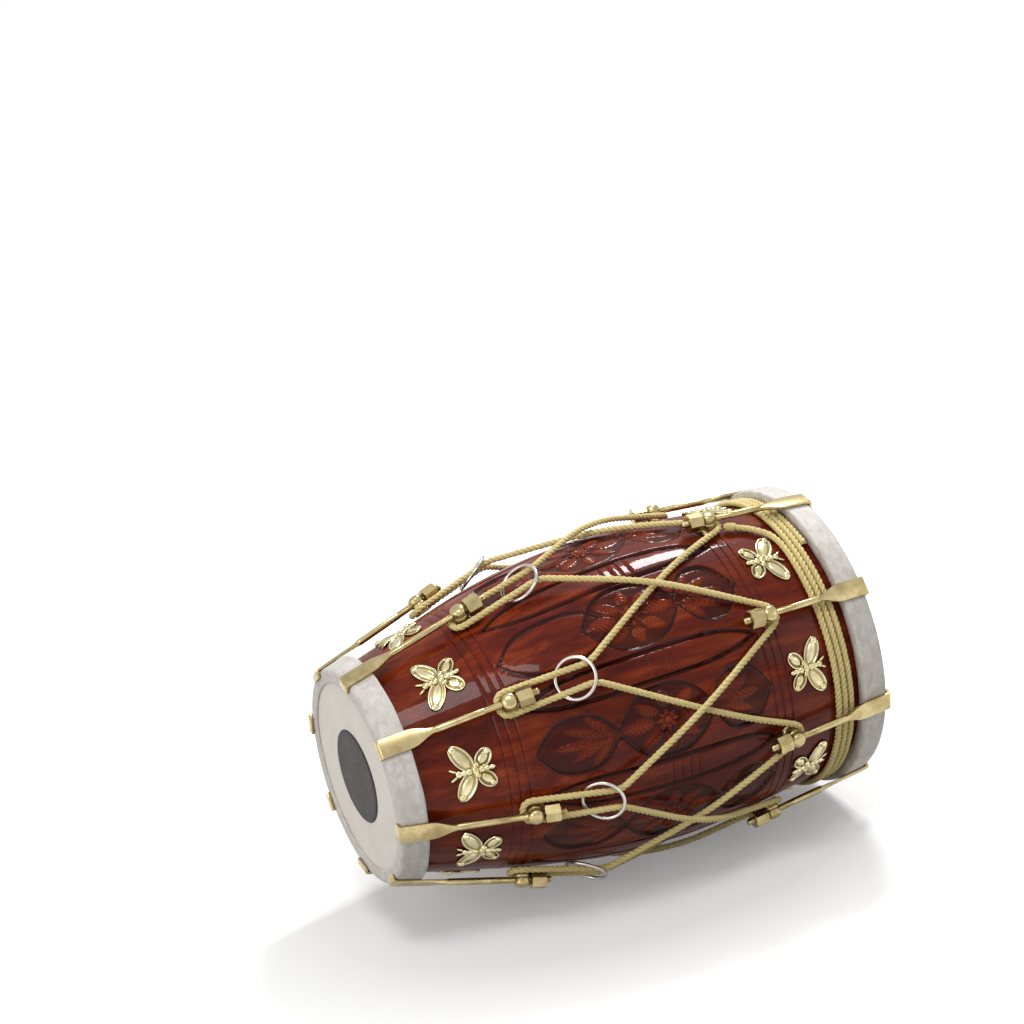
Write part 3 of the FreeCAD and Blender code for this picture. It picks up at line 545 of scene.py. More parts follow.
# %% Turn and carve the barrel
special = [line + step for line in INCISED for step in (-0.95, -0.5, 0, 0.5, 0.95)]
special += [line + step for line in CROSS_LINES for step in (-CROSS_HALF, 0, CROSS_HALF)]
special += [22, 23.5, 36, 54, 72, 86, 90, 97, 105, 338, 346, 353, 362, 378, 396, 412, 418.5, 420]
between = [place for place in np.arange(112.0, 333.0, 3.2) if min(abs(s - place) for s in special) > 1.2]
stations = sorted(set(special + between))
outline = [(MOUTH, NECK_RADIUS["small"]), (NECK, NECK_RADIUS["small"])]
outline += [(along, barrel_radius(along)) for along in stations]
outline += [(DRUM_LENGTH - NECK, NECK_RADIUS["large"]), (DRUM_LENGTH - MOUTH, NECK_RADIUS["large"]),
            (DRUM_LENGTH - MOUTH, NECK_RADIUS["large"] - WALL)]
outline += [(along, barrel_radius(along) - WALL) for along in (400, 330, 264, 200, 130, 60)]
outline += [(MOUTH, NECK_RADIUS["small"] - WALL)]
TURNS = 648
barrel = spun(outline, TURNS)
carved = barrel.verts.layers.float.new("carved")
edges = barrel.verts.layers.float_vector.new("edges")
for vert in barrel.verts:
    radius = math.hypot(vert.co.y, vert.co.z)
    along = vert.co.x
    vert[edges] = (FAR, FAR, FAR)
    if NECK < along < DRUM_LENGTH - NECK and radius > barrel_radius(along) - 1:
        depth, distances = carver(along, math.degrees(math.atan2(-vert.co.y, vert.co.z)))
        vert[carved] = depth / 2
        vert[edges] = distances
        shrink = (radius - depth) / radius
        vert.co.y *= shrink
        vert.co.z *= shrink
barrel.transform(LAY)
print("barrel faces", len(barrel.faces), "rows", len(stations))
hang_piece("carved_barrel", barrel, lacquer, "drum", ["shell"], 50)

# %% [markdown]
# ## The carved leaves
#
# The middle field holds a flower with leaves about it, and the two end fields hold sprays that fan out from the
# flower. The veins are cut as short parallel strokes. Each leaf is a flat grid pinched to two points, raised along
# its middle and rippled by its veins. The motifs are built flat and then wrapped on the barrel, with their highest
# points at the height of the wood around them.


# %% One leaf, and the motifs
def add_leaf(bm, length, width, height, place, veins=7, sunk=0.25):
    grid = bmesh.ops.create_grid(bm, x_segments=veins * 4, y_segments=8, size=1.0)
    for vert in grid["verts"]:
        u, w = vert.co.x, vert.co.y
        half = width * max(0.0, 1 - u * u) ** 0.7 * (1 - 0.22 * u)
        vein = 0.5 + 0.5 * math.cos(2 * math.pi * veins * (0.5 * u + 0.2 * abs(w)))
        rise = (1 - w * w) ** 0.6 * (1 - u ** 4)
        vert.co = place @ Vector((length * u, half * w, height * rise * (0.45 + 0.55 * vein) - sunk))


def flat_place(x, y, turn):
    return Matrix.Translation((x, y, 0)) @ Matrix.Rotation(math.radians(turn), 4, "Z")


def flower_motif():
    bm = bmesh.new()
    for side in (-1, 1):
        add_leaf(bm, 15, 8.0, 2.0, flat_place(26 * side, 0, 0 if side > 0 else 180))
        add_leaf(bm, 8.5, 6.5, 1.9, flat_place(0, 18.5 * side, 90 * side), 5)
        for across in (-1, 1):
            turn = math.degrees(math.atan2(across * 10, side * 15))
            add_leaf(bm, 12.5, 6.4, 2.0, flat_place(16.5 * side, 13 * across, turn))
    for petal in range(8):
        spot = Matrix.Rotation(math.radians(45 * petal), 3, "Z") @ Vector((6.4, 0, 0))
        add_leaf(bm, 4.4, 2.6, 2.0, flat_place(spot.x, spot.y, 45 * petal), 3)
    bmesh.ops.create_uvsphere(bm, u_segments=16, v_segments=8, radius=1,
                              matrix=Matrix.Diagonal((3.4, 3.4, 2.1, 1)))
    return bm


def spray_motif(side, reach, spread, width):
    """Five leaves that fan out along the drum, away from the flower."""
    bm = bmesh.new()
    for number in (-2, -1, 0, 1, 2):
        turn = math.radians(31 * number)
        far = reach * (1.0 - 0.10 * abs(number))
        spot = Vector((side * (far * math.cos(turn) - reach * 0.98), spread * far * math.sin(turn)))
        way = math.degrees(math.atan2(spread * math.sin(turn), side * math.cos(turn)))
        add_leaf(bm, far * 0.80, reach * width, 2.05, flat_place(spot.x, spot.y, way), sunk=0.55)
    return bm


motifs = {"flower": flower_motif(), "wide_spray": spray_motif(1, 24, 0.78, 0.25),
          "narrow_spray": spray_motif(-1, 29, 0.60, 0.18)}
print("motif faces", {name: len(motif.faces) for name, motif in motifs.items()})

# %% Wrap the motifs on the barrel
carving = bmesh.new()
for field in range(RIBS):
    for name, motif in motifs.items():
        if name != "narrow_spray" or field != PLAIN_FIELD:
            join_into(carving, motif, Matrix.Translation((FIELDS[name][0], ASIDE * field, 0)))
carved = carving.verts.layers.float.new("carved")
leaf_top_highlight = carving.verts.layers.float.new("leaf_top_highlight")
edges = carving.verts.layers.float_vector.new("edges")
for vert in carving.verts:
    field = round(vert.co.y / ASIDE)
    across, height = vert.co.y - ASIDE * field, vert.co.z
    radius = barrel_radius(vert.co.x)
    turn = FIRST_RIB + RIB_STEP * (field + 0.5) + math.degrees(across / radius)
    # The low parts of a leaf take the stain and painted shade mask, and its top takes the painted highlight mask.
    vert[carved] = 0.6 * (1 - ramp01(height, 0.1, 1.2))
    vert[leaf_top_highlight] = ramp01(height, 0.7, 1.7)
    vert[edges] = (FAR, FAR, FAR)
    vert.co = on_drum(vert.co.x, radius - LEAF_DEPTH + min(height, 1.95), turn)
bmesh.ops.recalc_face_normals(carving, faces=carving.faces[:])
carving.transform(LAY)
print("carving faces", len(carving.faces))
hang_piece("carved_leaves", carving, lacquer, "drum", (), 60)

# %% [markdown]
# ## Heads and collars
#
# A head is a skin stretched over the barrel's mouth, and its edge is lapped round a steel hoop and folded back over
# the neck as a white collar. The skin is spun from a nearly flat outline. The collar is spun from a closed outline
# with rounded lips, and then pressed in here and there by less than half a millimetre, because wet skin dries with
# soft hollows between the hooks.

# %% Skins
SKIN_FACE, SKIN_BACK, SKIRT_END = 2.0, 3.2, 16.0
for end in ("small", "large"):
    edge = NECK_RADIUS[end] + 1.3
    rows = [(SKIN_FACE, 0.0)] + [(SKIN_FACE + 0.05 * math.sin(r * 0.13), r) for r in range(6, int(edge) - 3, 6)]
    rows += [(SKIN_FACE, edge - 1.0), (SKIN_FACE + 0.3, edge - 0.3), (SKIN_FACE + 1.0, edge), (SKIRT_END, edge),
             (SKIRT_END, edge - 1.2), (SKIN_BACK + 0.6, edge - 1.2), (SKIN_BACK, edge - 1.8), (SKIN_BACK, 0.0)]
    head = spun(rows, 128, closed=False)
    head.transform(end_frame(end))
    print(end, "skin faces", len(head.faces))
    hang_piece(f"{END_WORD[end]}_skin", head, skin, "drum", [f"{end}_head_skin"])


# %% Collars
def pressed_in(turn, along):
    """Soft hollows of a dried skin, in millimetres."""
    wave = math.sin(3 * turn + 0.6) + 0.7 * math.sin(7 * turn + along * 0.11) + 0.5 * math.sin(17 * turn + 1.3)
    fine = 0.6 * math.sin(41 * turn + along * 0.5) + 0.5 * math.sin(67 * turn - along * 0.35)
    return 0.16 + 0.07 * wave + 0.05 * fine


for end in ("small", "large"):
    lap = NECK_RADIUS[end] + 0.1 - 4.0
    outer = COLLAR_RADIUS[end]
    inner = SHOULDER[end] + 0.3
    grow = math.tan(math.radians(HOOK_SLOPE[end]))
    rows = [(1.75, lap + 0.3), (0.9, lap), (0.3, lap + 0.5), (0.05, lap + 1.6)]
    rows += [(0.0, lap + 1.6 + (outer - 3.4 - lap - 1.6) * step / 3) for step in (1, 2, 3)]
    rows += [(0.25, outer - 1.9), (0.8, outer - 0.9), (1.7, outer - 0.25 + grow), (3.0, outer + 3.0 * grow)]
    rows += [(along, outer + along * grow) for along in (5.5, 8, 10.5, 13, 15.5, 18, 20)]
    rows += [(21.6, outer + 21.6 * grow - 0.2), (22.6, outer + 22 * grow - 0.8), (23.0, outer + 22 * grow - 1.9)]
    rows += [(22.9, inner + 0.8), (22.2, inner), (1.8, inner), (1.8, (inner + lap) / 2)]
    ring = spun(rows, 320)
    for vert in ring.verts:
        radius = math.hypot(vert.co.y, vert.co.z)
        turn = math.atan2(vert.co.y, vert.co.z)
        if radius > inner + 1 and vert.co.x > 0.9:
            shrink = 1 - pressed_in(turn, vert.co.x) / radius
            vert.co.y *= shrink
            vert.co.z *= shrink
        if vert.co.x > 21.5 and radius > inner + 0.4:
            vert.co.x -= 0.35 + 0.3 * math.sin(11 * turn) * math.sin(5 * turn + 1)
    ring.transform(end_frame(end))
    print(end, "collar faces", len(ring.faces))
    hang_piece(f"{END_WORD[end]}_collar", ring, collar_skin, "drum", [f"{end}_collar"], 60)

# %% The tuning patch
PATCH_RADIUS = 41.0
rows = [(SKIN_FACE, 0.0), (SKIN_FACE, PATCH_RADIUS), (1.75, PATCH_RADIUS), (1.3, 40.6), (1.0, 39.8), (0.86, 38.6)]
rows += [(0.80 + 0.03 * math.sin(radius * 1.9), radius) for radius in range(37, 1, -3)] + [(0.8, 0.0)]
patch = spun(rows, 128, closed=False)
rim = patch.verts.layers.float.new("edge")
for vert in patch.verts:
    vert[rim] = math.hypot(vert.co.y, vert.co.z) / PATCH_RADIUS
patch.transform(end_frame("small"))
print("patch faces", len(patch.faces))
hang_piece("tuning_patch_face", patch, paste, "drum", ["tuning_patch"])

# %% [markdown]
# ## Tuning hooks
#
# Each hook is one piece of brass: a flat strap bent over the collar's edge, drawn down to a round rod, and threaded
# at the far end. The side view is drawn as one face and pulled to the strap's width, cut across where the taper
# starts, and narrowed. The rod is spun, with a real thread as a row of fine ridges. A single tall bevel rounds the
# bend, and a small one softens every other edge so that it catches the light.

# %% Hook sizes
STRAP_WIDTH, STRAP_END, ROD_START, ROD_RADIUS, ROD_NECK, LIP = 16.0, 25.0, 46.0, 3.0, 2.3, 7.0
ROD_TIP = {end: saddle_reach(end) + 26.0 for end in HOOK_SLOPE}
THREAD_LENGTH, THREAD_STEP = 22.0, 0.5


def make_hook(end):
    """One hook in its end's frame, in millimetres."""
    slope = math.radians(HOOK_SLOPE[end])
    cos, sin = math.cos(slope), math.sin(slope)
    start = rod_start(end)
    to_end = Matrix.Translation((0, 0, start)) @ Matrix.Rotation(-slope, 4, "Y")
    to_rod = to_end.inverted()
    back, front, half = -HOOK_GAP, -HOOK_GAP - STRAP, STRAP / 2
    side = [Vector((back, 0, start - LIP)), Vector((front, 0, start - LIP)),
            Vector((front, 0, start + (half + front * sin) / cos)),
            to_end @ Vector((ROD_START, 0, half)), to_end @ Vector((ROD_START, 0, -half)),
            Vector((back, 0, start + (-half + back * sin) / cos))]
    bm = bmesh.new()
    verts = [bm.verts.new(point - Vector((0, STRAP_WIDTH / 2, 0))) for point in side]
    face = bm.faces.new(verts)
    pulled = bmesh.ops.extrude_face_region(bm, geom=[face], use_keep_orig=True)
    moved = [item for item in pulled["geom"] if isinstance(item, bmesh.types.BMVert)]
    bmesh.ops.translate(bm, verts=moved, vec=(0, STRAP_WIDTH, 0))
    bmesh.ops.recalc_face_normals(bm, faces=bm.faces[:])
    for along in (STRAP_END, STRAP_END + 4, STRAP_END + 9, STRAP_END + 14, STRAP_END + 18):
        bmesh.ops.bisect_plane(bm, geom=bm.verts[:] + bm.edges[:] + bm.faces[:],
                               plane_co=to_end @ Vector((along, 0, 0)), plane_no=to_end.to_3x3() @ Vector((1, 0, 0)))
    for vert in bm.verts:
        place = to_rod @ vert.co
        share = min(1.0, max(0.0, (place.x - STRAP_END) / (ROD_START - STRAP_END)))
        if share > 0:
            ease = share * share * (3 - 2 * share)
            place.y *= 1 - ease * (1 - ROD_NECK / (STRAP_WIDTH / 2))
            place.z *= 1 + ease * 0.55
            vert.co = to_end @ place
    bend = [edge for edge in bm.edges if all(abs(v.co.x - front) < 0.01 and v.co.z > start - 1 for v in edge.verts)]
    bmesh.ops.bevel(bm, geom=bend, offset=2.2, segments=5, profile=0.5, affect="EDGES", material=-1)
    edges = [edge for edge in bm.edges if edge.is_manifold and edge.calc_face_angle() > 0.7]
    bmesh.ops.bevel(bm, geom=edges, offset=0.35, segments=2, profile=0.5, affect="EDGES", material=-1)
    tip = ROD_TIP[end]
    thread = saddle_reach(end) - THREAD_LENGTH
    rows = [(ROD_START - 6, 0.0), (ROD_START - 6, 1.6), (ROD_START, 2.75), (ROD_START + 2, ROD_RADIUS),
            (thread, ROD_RADIUS)]
    count = int((tip - 1.2 - thread) / THREAD_STEP)
    rows += [(thread + THREAD_STEP * step, 2.98 if step % 2 == 0 else 2.66) for step in range(1, count)]
    rows += [(tip - 0.7, 2.6), (tip - 0.1, 1.9), (tip, 0.0)]
    rod = spun(rows, 14, closed=False)
    join_into(bm, rod, to_end)
    rod.free()
    return bm


# %% Hang the sixteen hooks
for end in ("small", "large"):
    master = make_hook(end)
    print(end, "hook faces", len(master.faces))
    for row in range(LINES):
        hook = master.copy()
        hook.transform(end_frame(end, LINE_ANGLE * row))
        name = f"{end}_hook_{row + 1}"
        hang_piece(f"{END_WORD[end]}_tuning_hook_{row + 1}", hook, brass, name, [name])
    master.free()

# %% [markdown]
# ## Saddles
#
# Between each nut and the ropes sits a turned brass saddle. It has a foot, a waist that the rope is pulled round and
# a rounded body that the rod runs through. It was made on a lathe, so it is spun from its half outline, with a bead
# at each step instead of the sharp corners of a drawing.

# %% Saddles
saddle_rows = [(-11.0, 0.0), (-11.0, 7.9), (-10.8, 8.4), (-10.4, 8.45), (-10.0, 8.1), (-9.6, 7.2), (-9.2, 6.85),
               (-7.0, 6.75), (-4.6, 6.8), (-3.7, 6.95), (-3.2, 7.0), (-2.2, 6.95), (-1.6, 6.6), (-1.0, 6.95),
               (0.4, 7.0), (1.8, 6.95), (2.9, 6.9), (3.8, 6.7), (4.6, 6.2), (5.3, 5.4), (5.8, 4.6), (6.2, 3.6),
               (6.45, 2.2), (6.6, 0.0)]
for end in ("small", "large"):
    group = bmesh.new()
    one = spun(saddle_rows, 32, closed=False, axis_way=(0, 0, 1))
    for row in range(LINES):
        join_into(group, one, rod_frame(end, LINE_ANGLE * row, saddle_reach(end)))
    one.free()
    print(end, "saddle faces", len(group.faces))
    hang_piece(f"{END_WORD[end]}_saddles", group, brass, "drum", [f"{end}_end_saddles"], 45)

# %% [markdown]
# ## Butterflies
#
# A brass butterfly is pinned between each pair of rods, fore wings towards the nearer head. They are sand castings:
# rimmed wings with a bead in each, a row of beads for the body, and two short feelers. Each wing starts as a disc,
# is pulled up, and is inset twice, which gives the rim, the hollow and the boss. The flat butterfly is then wrapped
# on the barrel's flank.


# %% One cast butterfly
def add_wing(bm, x, y, turn, long_half, short_half, thick):
    place = flat_place(x, y, turn) @ Matrix.Diagonal((long_half, short_half, 1, 1))
    disc = bmesh.ops.create_circle(bm, cap_ends=True, radius=1, segments=28, matrix=place)
    face = disc["verts"][0].link_faces[0]
    if face.normal.z < 0:
        face.normal_flip()
    pulled = bmesh.ops.extrude_face_region(bm, geom=[face], use_keep_orig=True)
    top = [item for item in pulled["geom"] if isinstance(item, bmesh.types.BMFace)]
    bmesh.ops.translate(bm, verts=top[0].verts[:], vec=(0, 0, thick))
    bmesh.ops.inset_region(bm, faces=top, thickness=0.9, use_even_offset=True)
    bmesh.ops.inset_region(bm, faces=top, thickness=0.6, depth=-0.8, use_even_offset=True)
    bmesh.ops.inset_region(bm, faces=top, thickness=short_half * 0.22, depth=0.15, use_even_offset=True)
    bmesh.ops.inset_region(bm, faces=top, thickness=0.7, depth=0.9, use_even_offset=True)


def add_bead(bm, x, y, z, size, turn=0):
    place = Matrix.Translation((x, y, z)) @ Matrix.Rotation(math.radians(turn), 4, "Z") @ Matrix.Diagonal((*size, 1))
    bmesh.ops.create_uvsphere(bm, u_segments=14, v_segments=8, radius=1, matrix=place)


def make_butterfly():
    bm = bmesh.new()
    for side in (-1, 1):
        add_wing(bm, -7.6, 10.6 * side, -side * 60 + 180, 11.8, 6.3, 2.1)
        add_wing(bm, 7.4, 7.9 * side, side * 50, 7.8, 5.6, 1.8)
    rims = [edge for edge in bm.edges if edge.is_manifold and edge.calc_face_angle() > 0.6]
    bmesh.ops.bevel(bm, geom=rims, offset=0.28, segments=2, profile=0.5, affect="EDGES", material=-1)
    for side in (-1, 1):
        add_bead(bm, -12.4, 18.2 * side, 1.7, (2.9, 2.9, 2.2))
        add_bead(bm, 10.6, 12.0 * side, 1.5, (2.2, 2.2, 1.8))
        add_bead(bm, -15.4, 3.0 * side, 1.2, (3.0, 1.0, 1.0), -side * 28)
        add_bead(bm, 1.0, 4.0 * side, 2.0, (2.4, 2.0, 1.8), side * 30)
    for place, size in ((-12.0, 2.9), (-8.2, 2.3), (-4.6, 2.6), (0.0, 3.6), (4.6, 2.7), (8.4, 2.2), (11.8, 1.9)):
        add_bead(bm, place, 0, 1.9, (2.5, size, 2.0))
    return bm


# %% Wrap the butterflies on both flanks
ORNAMENT_AT = {"small": 68.0, "large": 73.0}
ORNAMENT_GROWTH = 1.14
for end in ("small", "large"):
    flat = make_butterfly()
    print(end, "butterfly faces", len(flat.faces))
    group = bmesh.new()
    for row in range(LINES):
        join_into(group, flat, Matrix.Translation((0, ASIDE * row, 0)))
    flat.free()
    hollow = group.verts.layers.float.new("hollow")
    for vert in group.verts:
        row = round(vert.co.y / ASIDE)
        across, height = ORNAMENT_GROWTH * (vert.co.y - ASIDE * row), vert.co.z
        along = ORNAMENT_AT[end] + ORNAMENT_GROWTH * vert.co.x
        radius = SHOULDER[end] + math.tan(SLOPE[end]) * (along - NECK) + 0.1 + height
        vert[hollow] = 1 - ramp01(height, 0.9, 2.0)
        vert.co = on_drum(along, radius, LINE_ANGLE * (row + 0.5) + math.degrees(across / radius))
    bmesh.ops.recalc_face_normals(group, faces=group.faces[:])
    group.transform(end_frame(end))
    hang_piece(f"{END_WORD[end]}_butterflies", group, cast_brass, "drum", [f"{end}_end_butterflies"], 40)

# %% [markdown]
# ## Ropes
#
# Two long ropes zigzag between the ends: from a saddle at the narrow head, through a ring, to the next saddle at the
# wide head, round it, and back. The route is the same row of points that the CAD tube has, with one more near each
# saddle and each side of a ring, where the photograph shows the rope running straight. A NURBS spline makes the
# route smooth. Three strands are then laid round the spline as on a rope walk, each a curve with a round bevel.
# A whipping of thin cord binds each rope's joint, and the cut end of the spare rope.

# %% Lay three strands along a smooth route
ROPE_RADIUS = 3.0
STRAND_RADIUS = 1.52
STRAND_OFF = 1.46
LAY_LENGTH = 14.5
ROPE_STEP = 1.9
BINDING_RADIUS, BINDING_PITCH = 0.68, 1.35


def new_curve(kind, points):
    """A curve with one spline through a row of points."""
    curve = bpy.data.curves.new("line", "CURVE")
    curve.dimensions = "3D"
    spline = curve.splines.new(kind)
    spline.points.add(len(points) - 1)
    spline.points.foreach_set("co", np.column_stack([np.array(points), np.ones(len(points))]).ravel())
    return curve, spline


def mesh_of(curve):
    """A curve's mesh. The curve itself is removed."""
    holder = bpy.data.objects.new("line", curve)
    mesh = bpy.data.meshes.new_from_object(holder)
    bpy.data.objects.remove(holder)
    bpy.data.curves.remove(curve)
    return mesh


def smooth_line(points):
    """Points along the smooth NURBS line of a route, in millimetres."""
    curve, spline = new_curve("NURBS", points)
    spline.order_u = 3
    spline.use_endpoint_u = True
    spline.resolution_u = 16
    mesh = mesh_of(curve)
    line = np.array([vert.co[:] for vert in mesh.vertices])
    bpy.data.meshes.remove(mesh)
    return line


def even_steps(line, step):
    """The same line at even steps, with its length at each."""
    lengths = np.concatenate([[0], np.cumsum(np.linalg.norm(np.diff(line, axis=0), axis=1))])
    count = int(lengths[-1] / step)
    where = np.linspace(0, lengths[-1], count + 1)
    return np.stack([np.interp(where, lengths, line[:, k]) for k in range(3)], axis=1), where


def sideways_frames(line):
    """Two directions across the line at each point, that don't spin about it."""
    ways = np.gradient(line, axis=0)
    ways /= np.linalg.norm(ways, axis=1)[:, None]
    across = np.cross(ways[0], [0.3, 0.5, 0.8])
    firsts = []
    for way in ways:
        across = across - way * across.dot(way)
        across /= np.linalg.norm(across)
        firsts.append(across)
    firsts = np.array(firsts)
    return firsts, np.cross(ways, firsts)


def strand_mesh(path, thick=STRAND_RADIUS):
    curve, _ = new_curve("POLY", path)
    curve.bevel_depth = thick
    curve.bevel_resolution = 1
    curve.use_fill_caps = True
    return mesh_of(curve)


def whipping(middle, way, turns=6):
    """Thin cord wound round the rope at a place, as a mesh that holds a cut end or a joint."""
    first, second = sideways_frames(np.array([middle, middle + way, middle + 2 * way]))
    angle = np.linspace(0, 2 * math.pi * turns, 16 * turns + 1)
    coil = middle + way * ((angle / (2 * math.pi) - turns / 2) * BINDING_PITCH)[:, None]
    coil += (ROPE_RADIUS + 0.35) * (first[0] * np.cos(angle)[:, None] + second[0] * np.sin(angle)[:, None])
    return strand_mesh(coil, BINDING_RADIUS)


def lay_rope(name, points, nodes, bound_at):
    """A three-strand rope along a route, with the attributes that its finish reads."""
    line, where = even_steps(smooth_line(points), ROPE_STEP)
    first, second = sideways_frames(line)
    rope = bmesh.new()
    lay_values, crease_shade_values = [], []
    for strand in range(3):
        angle = 2 * math.pi * (where / LAY_LENGTH + strand / 3)
        path = line + STRAND_OFF * (first * np.cos(angle)[:, None] + second * np.sin(angle)[:, None])
        mesh = strand_mesh(path)
        count = len(mesh.vertices)
        sides = count // len(path)
        ring = np.minimum(np.arange(count) // sides, len(path) - 1)
        turn = 2 * math.pi * (np.arange(count) % sides) / sides
        lay_values.append(np.column_stack([STRAND_RADIUS * np.cos(turn) + 5 * strand, STRAND_RADIUS * np.sin(turn),
                                           where[ring]]))
        co = np.array([vert.co[:] for vert in mesh.vertices])
        off = np.linalg.norm(co - line[ring], axis=1)
        # Painted shade mask: high where a strand's surface lies near the rope's middle, in the creases between
        # strands.
        crease_shade_values.append(1 - np.clip((off - 1.5) / 1.4, 0, 1))
        rope.from_mesh(mesh)
        bpy.data.meshes.remove(mesh)
    begin = (line[1] - line[0]) / np.linalg.norm(line[1] - line[0])
    mesh = whipping(line[0] + begin * bound_at, begin)
    count = len(mesh.vertices)
    lay_values.append(np.column_stack([np.full(count, 20.0), np.arange(count) % 8, np.arange(count) * 0.15]))
    crease_shade_values.append(np.full(count, 0.25))
    rope.from_mesh(mesh)
    bpy.data.meshes.remove(mesh)
    mesh = bpy.data.meshes.new(name)
    rope.to_mesh(mesh)
    rope.free()
    mesh.attributes.new("lay", "FLOAT_VECTOR", "POINT").data.foreach_set("vector", np.concatenate(lay_values).ravel())
    mesh.attributes.new("crease_shade", "FLOAT", "POINT").data.foreach_set("value", np.concatenate(crease_shade_values))
    mesh.transform(LAY)
    print(name, "length", round(float(where[-1])), "mm, faces", len(mesh.polygons))
    hang_mesh(name, mesh, rope_finish, "drum", nodes, 70)
    return line


# %% [markdown]
# The route bears on each saddle's waist. In the rod's own frame the rope's middle passes 10 mm behind the saddle's
# axis, so a turn is two corners there, one on each side. A taut run starts 20 mm from each corner.

# %% The lacing's route
RING_AT, RING_LIFT, SPREAD = 178.0, 9.6, 8.5
FAR_SADDLE = DRUM_LENGTH - SADDLE_STATION["large"]
CROSS_AT = RING_AT + (FAR_SADDLE - RING_AT) * 0.487
HUG_AT, HUG_LIFT, HUG_SHARE = 303.0, 1.2, 0.715
LIFT = {True: 12.4, False: 2.4}
BEND, DROP = 10.0, 6.8
TAUT_RUN, RING_RUN, JOINT_GAP = 20, 15, 0.6


def strand_points(row, side, over):
    """From a ring to the crossing, and for the under rope on to where it hugs the barrel."""
    ring_radius = barrel_radius(RING_AT) + ROPE_RADIUS + RING_LIFT
    spread = math.degrees(math.asin(SPREAD / ring_radius))
    places = [(RING_AT, ring_radius, spread),
              (CROSS_AT, barrel_radius(CROSS_AT) + ROPE_RADIUS + LIFT[over], LINE_ANGLE / 2)]
    if not over:
        places.append((HUG_AT, barrel_radius(HUG_AT) + ROPE_RADIUS + HUG_LIFT, LINE_ANGLE * HUG_SHARE))
    return [on_drum(along, radius, LINE_ANGLE * row + side * turn) for along, radius, turn in places]


def saddle_turn(end, row, side, target):
    """The corner of the rope's turn round a saddle, on the side that leaves for a target."""
    place = LAY.inverted() @ rod_frame(end, LINE_ANGLE * row, saddle_reach(end))
    goal = place.inverted() @ target
    reach = math.hypot(goal.x, goal.y)
    touch = math.atan2(abs(goal.y), goal.x) + math.acos(BEND / reach)
    aside = BEND * math.tan((math.pi - touch) / 2)
    hand = -side if end == "small" else side
    return place @ Vector((-BEND, hand * aside, -DROP))


def towards(start, goal, distance):
    return start + (goal - start).normalized() * distance


def half_zigzag(row, side, over):
    """Points from a narrow-end saddle to a wide-end saddle."""
    points = strand_points(row, side, over)
    near = saddle_turn("small", row, side, points[0])
    far = saddle_turn("large", row + side, -side, points[-1])
    ring = points[0]
    return [near, towards(near, ring, TAUT_RUN), towards(ring, near, RING_RUN), ring,
            towards(ring, points[1], RING_RUN), *points[1:], towards(far, points[-1], TAUT_RUN), far]


def lacing_route(first_row, over):
    """The whole zigzag round the drum, from the joint of the rope's two ends and back to it."""
    route = []
    for step in range(0, LINES, 2):
        row = first_row + step
        route += half_zigzag(row, 1, over)
        route += list(reversed(half_zigzag(row + 2, -1, over)))
    start = (route[0] + route[1]) / 2
    return [start] + route[1:] + [route[0], start - (start - route[0]).normalized() * JOINT_GAP]


over_line = lay_rope("over_rope", lacing_route(6, True), ["lacing_rope_over"], 0.0)
under_line = lay_rope("under_rope", lacing_route(5, False), ["lacing_rope_under"], 0.0)

# %% [markdown]
# The spare rope comes down beside the top saddle and lies in three turns against the wide collar. A smooth line
# cuts the corners between its route points, which lie 15 degrees apart, so the points are pushed outwards by the
# share that it cuts off.

# %% The wound tail
WINDING_AT, WINDING_PITCH, WINDING_START, WINDING_TURNS, WINDING_LIFT = 395.0, 6.45, 20.0, 3, 0.5
TURN_STEPS, CORNER_SHARE = 24, 0.9915
LEAD = [(357.5, 2.4, 2.6), (367.5, 1.7, 3.8), (380.5, 1.3, 7.0), (391.8, 1.3, 12.0)]
route = [on_drum(along, barrel_radius(along) + ROPE_RADIUS + lift, turn) for along, lift, turn in LEAD]
for step in range(WINDING_TURNS * TURN_STEPS + 1):
    turn = WINDING_START + 360 / TURN_STEPS * step
    along = WINDING_AT + WINDING_PITCH * step / TURN_STEPS
    route.append(on_drum(along, (barrel_radius(along) + ROPE_RADIUS + WINDING_LIFT) / CORNER_SHARE, turn))
tail_line = lay_rope("wound_rope", route, ["tail_winding"], 5.2)

# %% Check the ropes' room
def least_apart(first, second):
    return min(float(np.linalg.norm(second - point, axis=1).min()) for point in first[::2])


def over_barrel(line):
    return min(math.hypot(y, z) - barrel_radius(x) for x, y, z in line) - ROPE_RADIUS


print("rope over rope gap", round(least_apart(over_line, under_line) - 2 * ROPE_RADIUS, 2),
      "barrel gaps", [round(over_barrel(line), 2) for line in (over_line, under_line, tail_line)])

# %% [markdown]
# ## Finishes for the CAD pieces that stay
#
# Nuts, rings, hoops and the paste inside the wide head already have the right shape in CAD, so they keep their mesh
# and only get a finish in their material slot.

# %% Finish the CAD nodes that stay
kept = {"_nut_": brass, "tension_ring": nickel, "hoop": steel, "bass_paste": paste}
finished = 0
for name, piece in frame["nodes"].items():
    for key, material in kept.items():
        if key in name:
            for slot in piece.material_slots:
                slot.material = material
            finished += 1
print("CAD nodes finished:", finished)

# %% [markdown]
# ## Floor, light and camera
#
# The drum lies on a plain white table. A wide soft lamp hangs above and in front of it. A short strip lamp hangs
# behind, flat and turned so that the upper rib mirrors it towards the camera: that is the white patch on the
# lacquer. A wide weak lamp on each side lights the heads. The floor glows a little where it is seen, more so further
# out, so the page behind the drum is white while the soft shadow under it stays. The camera is a long lens a little
# above the drum, turned as in the photograph.

